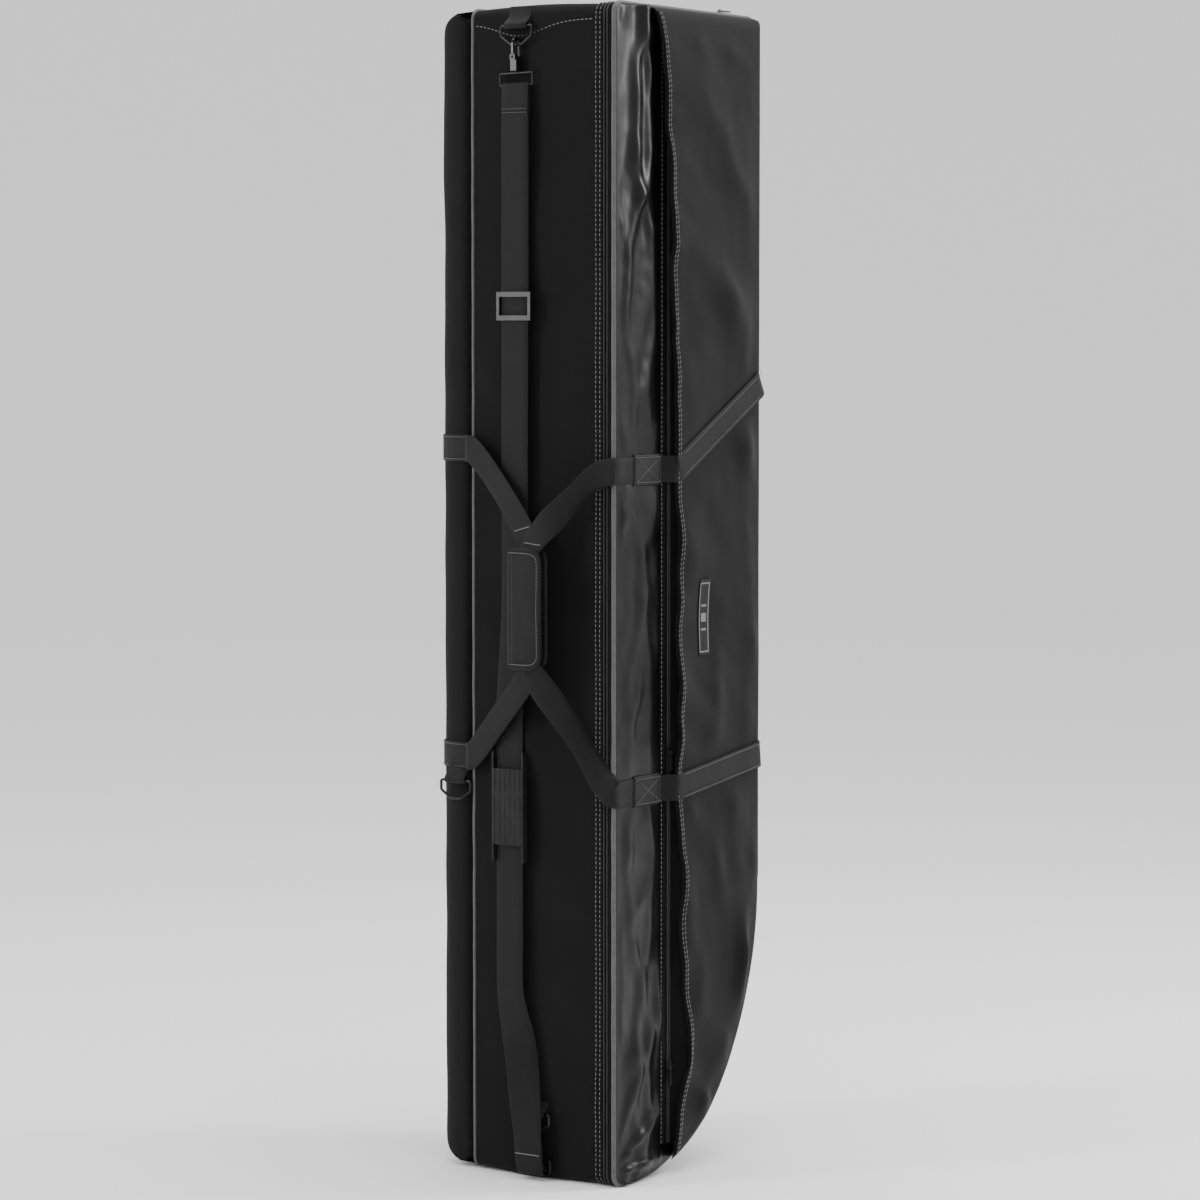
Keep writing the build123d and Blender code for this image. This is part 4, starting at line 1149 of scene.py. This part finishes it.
stitches("back_belt_stitching", belt_rows, dark_thread, "shell", pitch=0.0038)

badge_x, badge_z = at((14, 0, 790))[0][[0, 2]]
bu = np.linspace(-0.0135, 0.0135, 12)[None, :]
bv = np.linspace(-0.054, 0.054, 36)[:, None]
badge_face = on_pocket(badge_x + bu + 0 * bv, badge_z + bv + 0 * bu, 0.0013)
layer("woven_badge", badge_face, badge_face + np.array([0, 0.0010, 0]), badge_look, "lid",
      replaces=("badge",), slot="badge")

# ------------------------------------------------------------------ carry handles and wrap
turn = math.radians(11.0)
mouth = np.array([-math.sin(turn), -math.cos(turn), 0.0])
outward = np.array([-math.cos(turn), math.sin(turn), 0.0])
grip = at((-228, -10, 811))[0]
front_line = at(
    (-138, -127.2, 1004), (-160, -127.4, 1004), (-180, -128.4, 1004), (-190, -122, 1003),
    (-194, -104, 997), (-202, -80, 977), (-212, -54, 948), (-223, -30, 920), (-230.5, -14, 893),
    (-232, -9.5, 860), (-232, -9.2, 811), (-232, -9.5, 762), (-230.5, -14, 731),
    (-224, -28, 704), (-214, -52, 668), (-203, -80, 624), (-195, -105, 583), (-190, -121, 559),
    (-181, -128.4, 552), (-160, -127.4, 552), (-138, -127.2, 552))
front_wide = np.array([
    (0, 0, 1), (0, 0, 1), (0, 0, 1), (0, 0.1, 1), (-0.45, 0.35, 0.8), (-0.85, 0.35, 0.4),
    (-0.7, 0.65, 0.3), (-0.15, 0.95, 0.2), (0.15, 0.98, 0.05), (0.19, 0.98, 0), (0.19, 0.98, 0),
    (0.19, 0.98, 0), (0.1, 0.98, -0.1), (-0.3, 0.9, -0.35), (-0.7, 0.45, -0.5),
    (-0.8, 0.1, -0.6), (-0.4, 0, -0.9), (0, 0, -1), (0, 0, -1), (0, 0, -1), (0, 0, -1)])
ribbon("front_handle_webbing", front_line, front_wide, webbing_width, 0.0023,
                      webbing_finish, "handle_front", count=240,
                      replaces=("handle_front_webbing",), slot="webbing")
back_line = at(
    (-180.5, 131, 1032), (-185.5, 127.5, 1032), (-190.5, 121, 1032), (-193.5, 110, 1029),
    (-199, 90, 1014), (-206, 64, 990), (-213, 36, 960), (-218.5, 10, 928), (-221, -8, 897),
    (-221.3, -11.3, 860), (-221.3, -11.3, 811), (-221.3, -11.3, 762), (-221, -8, 727),
    (-218, 10, 700), (-212.5, 34, 674), (-206, 62, 645), (-199, 90, 615), (-193.5, 110, 597),
    (-190.5, 121, 592), (-185.5, 127.5, 592), (-180.5, 131, 592))
back_wide = np.array([
    (0, 0, 1), (0, 0, 1), (0, 0, 1), (0, -0.2, 1), (-0.1, -0.5, 0.85), (-0.15, -0.6, 0.75),
    (-0.15, -0.75, 0.6), (-0.1, -0.9, 0.3), (-0.15, -0.98, 0.05), (-0.19, -0.98, 0),
    (-0.19, -0.98, 0), (-0.19, -0.98, 0), (-0.15, -0.98, -0.1), (-0.1, -0.9, -0.4),
    (-0.1, -0.75, -0.65), (-0.1, -0.6, -0.8), (-0.05, -0.4, -0.9), (0, -0.2, -1), (0, 0, -1),
    (0, 0, -1), (0, 0, -1)])
ribbon("back_handle_webbing", back_line, back_wide, webbing_width, 0.0023,
                     webbing_finish, "handle_back", count=240,
                     replaces=("handle_back_webbing",), slot="webbing")


def from_grip(rows):
    """Points given along the wrap's mouth, up, and out from the bag, in millimetres."""
    rows = np.array(rows, float) / 1000
    return grip + rows[:, :1] * mouth + rows[:, 1:2] * np.array([0, 0, 1.0]) + rows[:, 2:] * outward


def leaf_width(count, ends):
    """The leaf's height along its profile: full, with its far corners rounded."""
    t = np.linspace(0, 1, count)
    rest = np.clip((t - (1 - ends)) / ends, 0, 1)
    return 0.163 - 0.022 * (1 - np.sqrt(np.clip(1 - rest**2, 0, 1)))


inner_profile = from_grip([(-31, 0, 6.5), (-32, 0, 0), (-31, 0, -6), (-27, 0, -10), (-18, 0, -11.2),
                           (-2, 0, -11.4), (10, 0, -11.2), (18, 0, -10.4), (24, 0, -9.2)])
ribbon("wrap_inner_leaf", inner_profile, (0, 0, 1), leaf_width(60, 0.16), 0.0028, wrap_look,
       "handle_back", count=60, replaces=("grip_wrap",), slot="grip_cloth")
flap_profile = from_grip([(-31, 0, 8.2), (-29, 0, 10.4), (-22, 0, 11.5), (-8, 0, 12.0),
                          (8, 0, 12.0), (20, 0, 10.8), (29, 0, 8.4)])
ribbon("wrap_flap", flap_profile, (0, 0, 1), leaf_width(60, 0.16), 0.0028, wrap_look,
       "grip_flap", count=60, replaces=("grip_flap",), slot="grip_cloth")
for name, body, out, start_a, fall, end_a in (
    ("flap", "grip_flap", 11.9, -26, 1.0, 29.0), ("inner", "handle_back", -11.3, -24, -0.7, 24.0),
):
    half_loop = [(start_a, 80.5, out - 0.2), (-8, 80.8, out + 0.1),
                 (end_a - 17, 80.4, out - 0.4 * fall), (end_a - 7, 78, out - 2.0 * fall),
                 (end_a - 1.5, 71.5, out - 3.2 * fall),
                 (end_a - 0.4, 60, out - 3.4 * fall), (end_a - 0.2, 30, out - 3.5 * fall)]
    loop = from_grip(half_loop + [(end_a - 0.2, 0, out - 3.5 * fall)]
                     + [(a, -h, o) for a, h, o in reversed(half_loop)])
    ribbon(f"wrap_binding_{name}", loop, None, 0.0088, 0.0044, binding_finish, body, count=220,
           facing=outward, slot="grip_cloth")
    fine = spline(loop, 200)
    centre = from_grip([(0, 0, out)])[0]
    flat_in = centre - fine
    flat_in -= outward * (flat_in @ outward)[:, None]
    flat_in /= np.linalg.norm(flat_in, axis=1)[:, None]
    face = 1 if name == "flap" else -1
    stitches(f"wrap_stitching_{name}",
             [(fine + flat_in * 0.0026 + outward * face * 0.0022, outward * face)],
             light_thread if name == "flap" else dark_thread, body, pitch=0.0046, length=0.0032)
for name, body, base, face, curl in (
    ("hook", "handle_back", -8.5, 1, 0.006), ("loop", "grip_flap", 9.3, -1, 0.010),
):
    a, h = np.meshgrid(np.linspace(10.0, 19.0, 8), np.linspace(-70, 70, 50))
    flat = np.stack([a.ravel(), h.ravel(), base + face * curl * (a.ravel() - 8) ** 2], 1)
    top_face = from_grip(flat).reshape(a.shape + (3,))
    layer(f"wrap_{name}_tape", top_face, top_face - outward * face * 0.0013, touch_look, body,
          replaces=(f"grip_{name}_tape",), slot="touch_tape")

# white thread that closes each handle's turned-back end above the wrap
bars = []
for control, wide, place in ((front_line, front_wide, 0.385), (back_line, back_wide, 0.36)):
    line, width_way = spline(control, 240), spline(wide, 240)
    k = int(place * 240)
    way = width_way[k] / np.linalg.norm(width_way[k])
    face = np.cross(line[k + 1] - line[k - 1], way)
    face /= np.linalg.norm(face)
    face *= np.sign(face @ outward)
    seam = line[k] + way * np.linspace(-0.015, 0.015, 12)[:, None] + face * 0.0012
    bars.append((seam, face))
stitches("front_handle_end_stitching", bars[:1], light_thread, "handle_front", pitch=0.0032)
stitches("back_handle_end_stitching", bars[1:], light_thread, "handle_back", pitch=0.0032)

# ------------------------------------------------------------------ shoulder strap
strap_line = at(
    (-194.6, 34, 1238), (-194.7, 34, 1330), (-194.7, 34, 1440), (-193.6, 34, 1505),
    (-190.3, 34, 1533), (-189.7, 34, 1541), (-192.5, 34, 1544), (-195.4, 34, 1541),
    (-196.4, 34, 1528), (-197, 34, 1500), (-197, 34, 1400), (-197, 34, 1300), (-197, 34, 1233),
    (-197.2, 34, 1150), (-198, 34, 1020), (-197.4, 34, 900), (-197, 35, 810), (-197, 39, 740),
    (-197, 43, 690), (-197, 44, 640), (-197, 44, 600), (-197, 44, 526), (-197, 44, 440),
    (-197, 44, 350), (-197, 43.8, 268), (-200, 34, 226), (-204.5, 23, 196), (-206, 16, 160),
    (-206.5, 12, 115), (-207, 8, 70), (-206.5, 6, 30), (-202, 6, 8), (-196, 6, 3.9),
    (-191.5, 6, 4.1), (-189.7, 6, 7), (-192.5, 6, 9.8), (-198, 6, 12), (-203.2, 6, 22),
    (-204.2, 6, 34), (-204.4, 6, 48))
strap_wide = np.zeros((len(strap_line), 3))
strap_wide[:, 1] = 1.0
strap_wide[25:30, 0] = (-0.12, -0.45, -0.62, -0.35, -0.1)
ribbon("strap_webbing_run", strap_line, strap_wide, strap_width, 0.0019, strap_finish,
                     "strap", count=520, replaces=("strap_webbing",), slot="strap_webbing")
tail_seams = [
    (at((-198.1, 14, 1508), (-198.1, 54, 1508)), (-1, 0, 0)),
    (at((-198.1, 14, 1503), (-198.1, 54, 1503)), (-1, 0, 0)),
    (at((-207.9, -13, 34), (-207.9, 27, 34)), (-1, 0, 0)),
]
stitches("strap_top_stitching", tail_seams[:2], dark_thread, "strap", pitch=0.0034)
stitches("strap_end_stitching", tail_seams[2:], light_thread, "strap", pitch=0.0034)

pad_low, pad_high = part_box("shoulder_pad")
pad_mid = (np.array(pad_low) + np.array(pad_high)) / 2
pad_half_y, pad_half_z = (pad_high.y - pad_low.y) / 2, (pad_high.z - pad_low.z) / 2
pu = spread(-1, 1, 90)[None, :]
pv = (0.5 * spread(-1, 1, 150) + 0.5 * np.linspace(-1, 1, 150))[:, None]
plate_v = 0.0545 / pad_half_z
taper = 1 - 0.05 * ease(0.2, 1.0, pv)
gy = pad_mid[1] + pu * (pad_half_y - 0.0005) * taper
gz = pad_mid[2] + pv * pad_half_z * plate_v + 0 * pu
rim_fall = (1 - np.abs(pu) ** 14) * (1 - np.abs(pv) ** 22)
ribs = sum(hump(pu, place, 0.028) for place in np.linspace(-0.84, 0.84, 6))
groove = 1 - hump(pv, 0.36, 0.035) - hump(pv, -0.36, 0.035)
lift = 0.0014 * np.clip(rim_fall, 0, 1) ** 0.35 + 0.0015 * ribs * np.clip(groove, 0, 1)
face_x = pad_low.x + 0.0006 - lift
pad_front_grid = np.stack(np.broadcast_arrays(face_x, gy, gz), -1)
pad_back_grid = np.stack(np.broadcast_arrays(np.full_like(face_x, pad_low.x + 0.0012), gy, gz), -1)
layer("pad_ribbed_face", pad_front_grid, pad_back_grid, rubber_look, "shoulder_pad",
      slot="pad_rubber")

# ------------------------------------------------------------------ ring tabs
for name in ("top", "bottom"):
    low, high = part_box(f"ring_tab_{name}")
    bar_x, bar_z = at((-192.5, 0, 0))[0][0], low.z + 0.0045
    mid_y = (low.y + high.y) / 2
    r = 0.0033
    path = [(near + 0.0004, mid_y, high.z + 0.012), (near - 0.0016, mid_y, high.z + 0.004),
            (near - 0.0052, mid_y, high.z - 0.004), (bar_x - r * 0.9, mid_y, bar_z + 0.003),
            (bar_x - r, mid_y, bar_z), (bar_x - r * 0.6, mid_y, bar_z - r * 0.85),
            (bar_x + r * 0.4, mid_y, bar_z - r), (bar_x + r, mid_y, bar_z - 0.0005),
            (near - 0.0052, mid_y, bar_z + 0.006), (near - 0.001, mid_y, high.z - 0.002)]
    ribbon(f"ring_tab_webbing_{name}", path, (0, 1, 0), webbing_width, 0.0021,
           webbing_finish, "shell", count=70, replaces=(f"ring_tab_{name}",), slot="webbing")
low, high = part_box("ring_tab_back")
bar = at((-185, 147, 0))[0]
bar_z, mid_y, r = low.z + 0.0045, (low.y + high.y) / 2, 0.0033
path = [(near + 0.0035, mid_y, high.z + 0.010), (near + 0.0015, mid_y, high.z),
        (bar[0] - r * 0.7, mid_y, bar_z + 0.005), (bar[0] - r, mid_y, bar_z),
        (bar[0], mid_y, bar_z - r), (bar[0] + r, mid_y, bar_z),
        (near + 0.0012, mid_y, bar_z + 0.006), (near + 0.003, mid_y, high.z)]
ribbon("ring_tab_webbing_back", path, (0, 1, 0), 0.036, 0.0021, webbing_finish, "shell",
       count=60, replaces=("ring_tab_back",), slot="webbing")

seam_y = np.linspace(shell_back - 0.006, shell_front + 0.016, 80)
seam_z = top - 0.021 - 0.019 * hump(seam_y, 0.034, 0.052)
top_seam = np.stack([np.full_like(seam_y, near) - 0.0034 * np.sin(
    math.pi * (seam_y - shell_front) / (shell_back - shell_front)) ** 0.7 - 0.0004,
    seam_y, seam_z], 1)
stitches("top_seam_stitching", [(top_seam, (-1, 0, 0))], light_thread, "shell")

# ------------------------------------------------------------------ hard pieces, as CAD made them
for node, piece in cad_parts.items():
    if piece.hide_render:
        continue
    if node.startswith(("snap_", "strap_adjuster")):
        finish = hook_finish
    elif node.startswith("shoulder_pad"):
        finish = rubber_look
    elif node.startswith(("ring_", "strap_loop")):
        finish = metal_finish
    else:
        finish = slider_finish
    if not piece.material_slots:
        piece.data.materials.append(finish)
    for place in piece.material_slots:
        place.material = finish
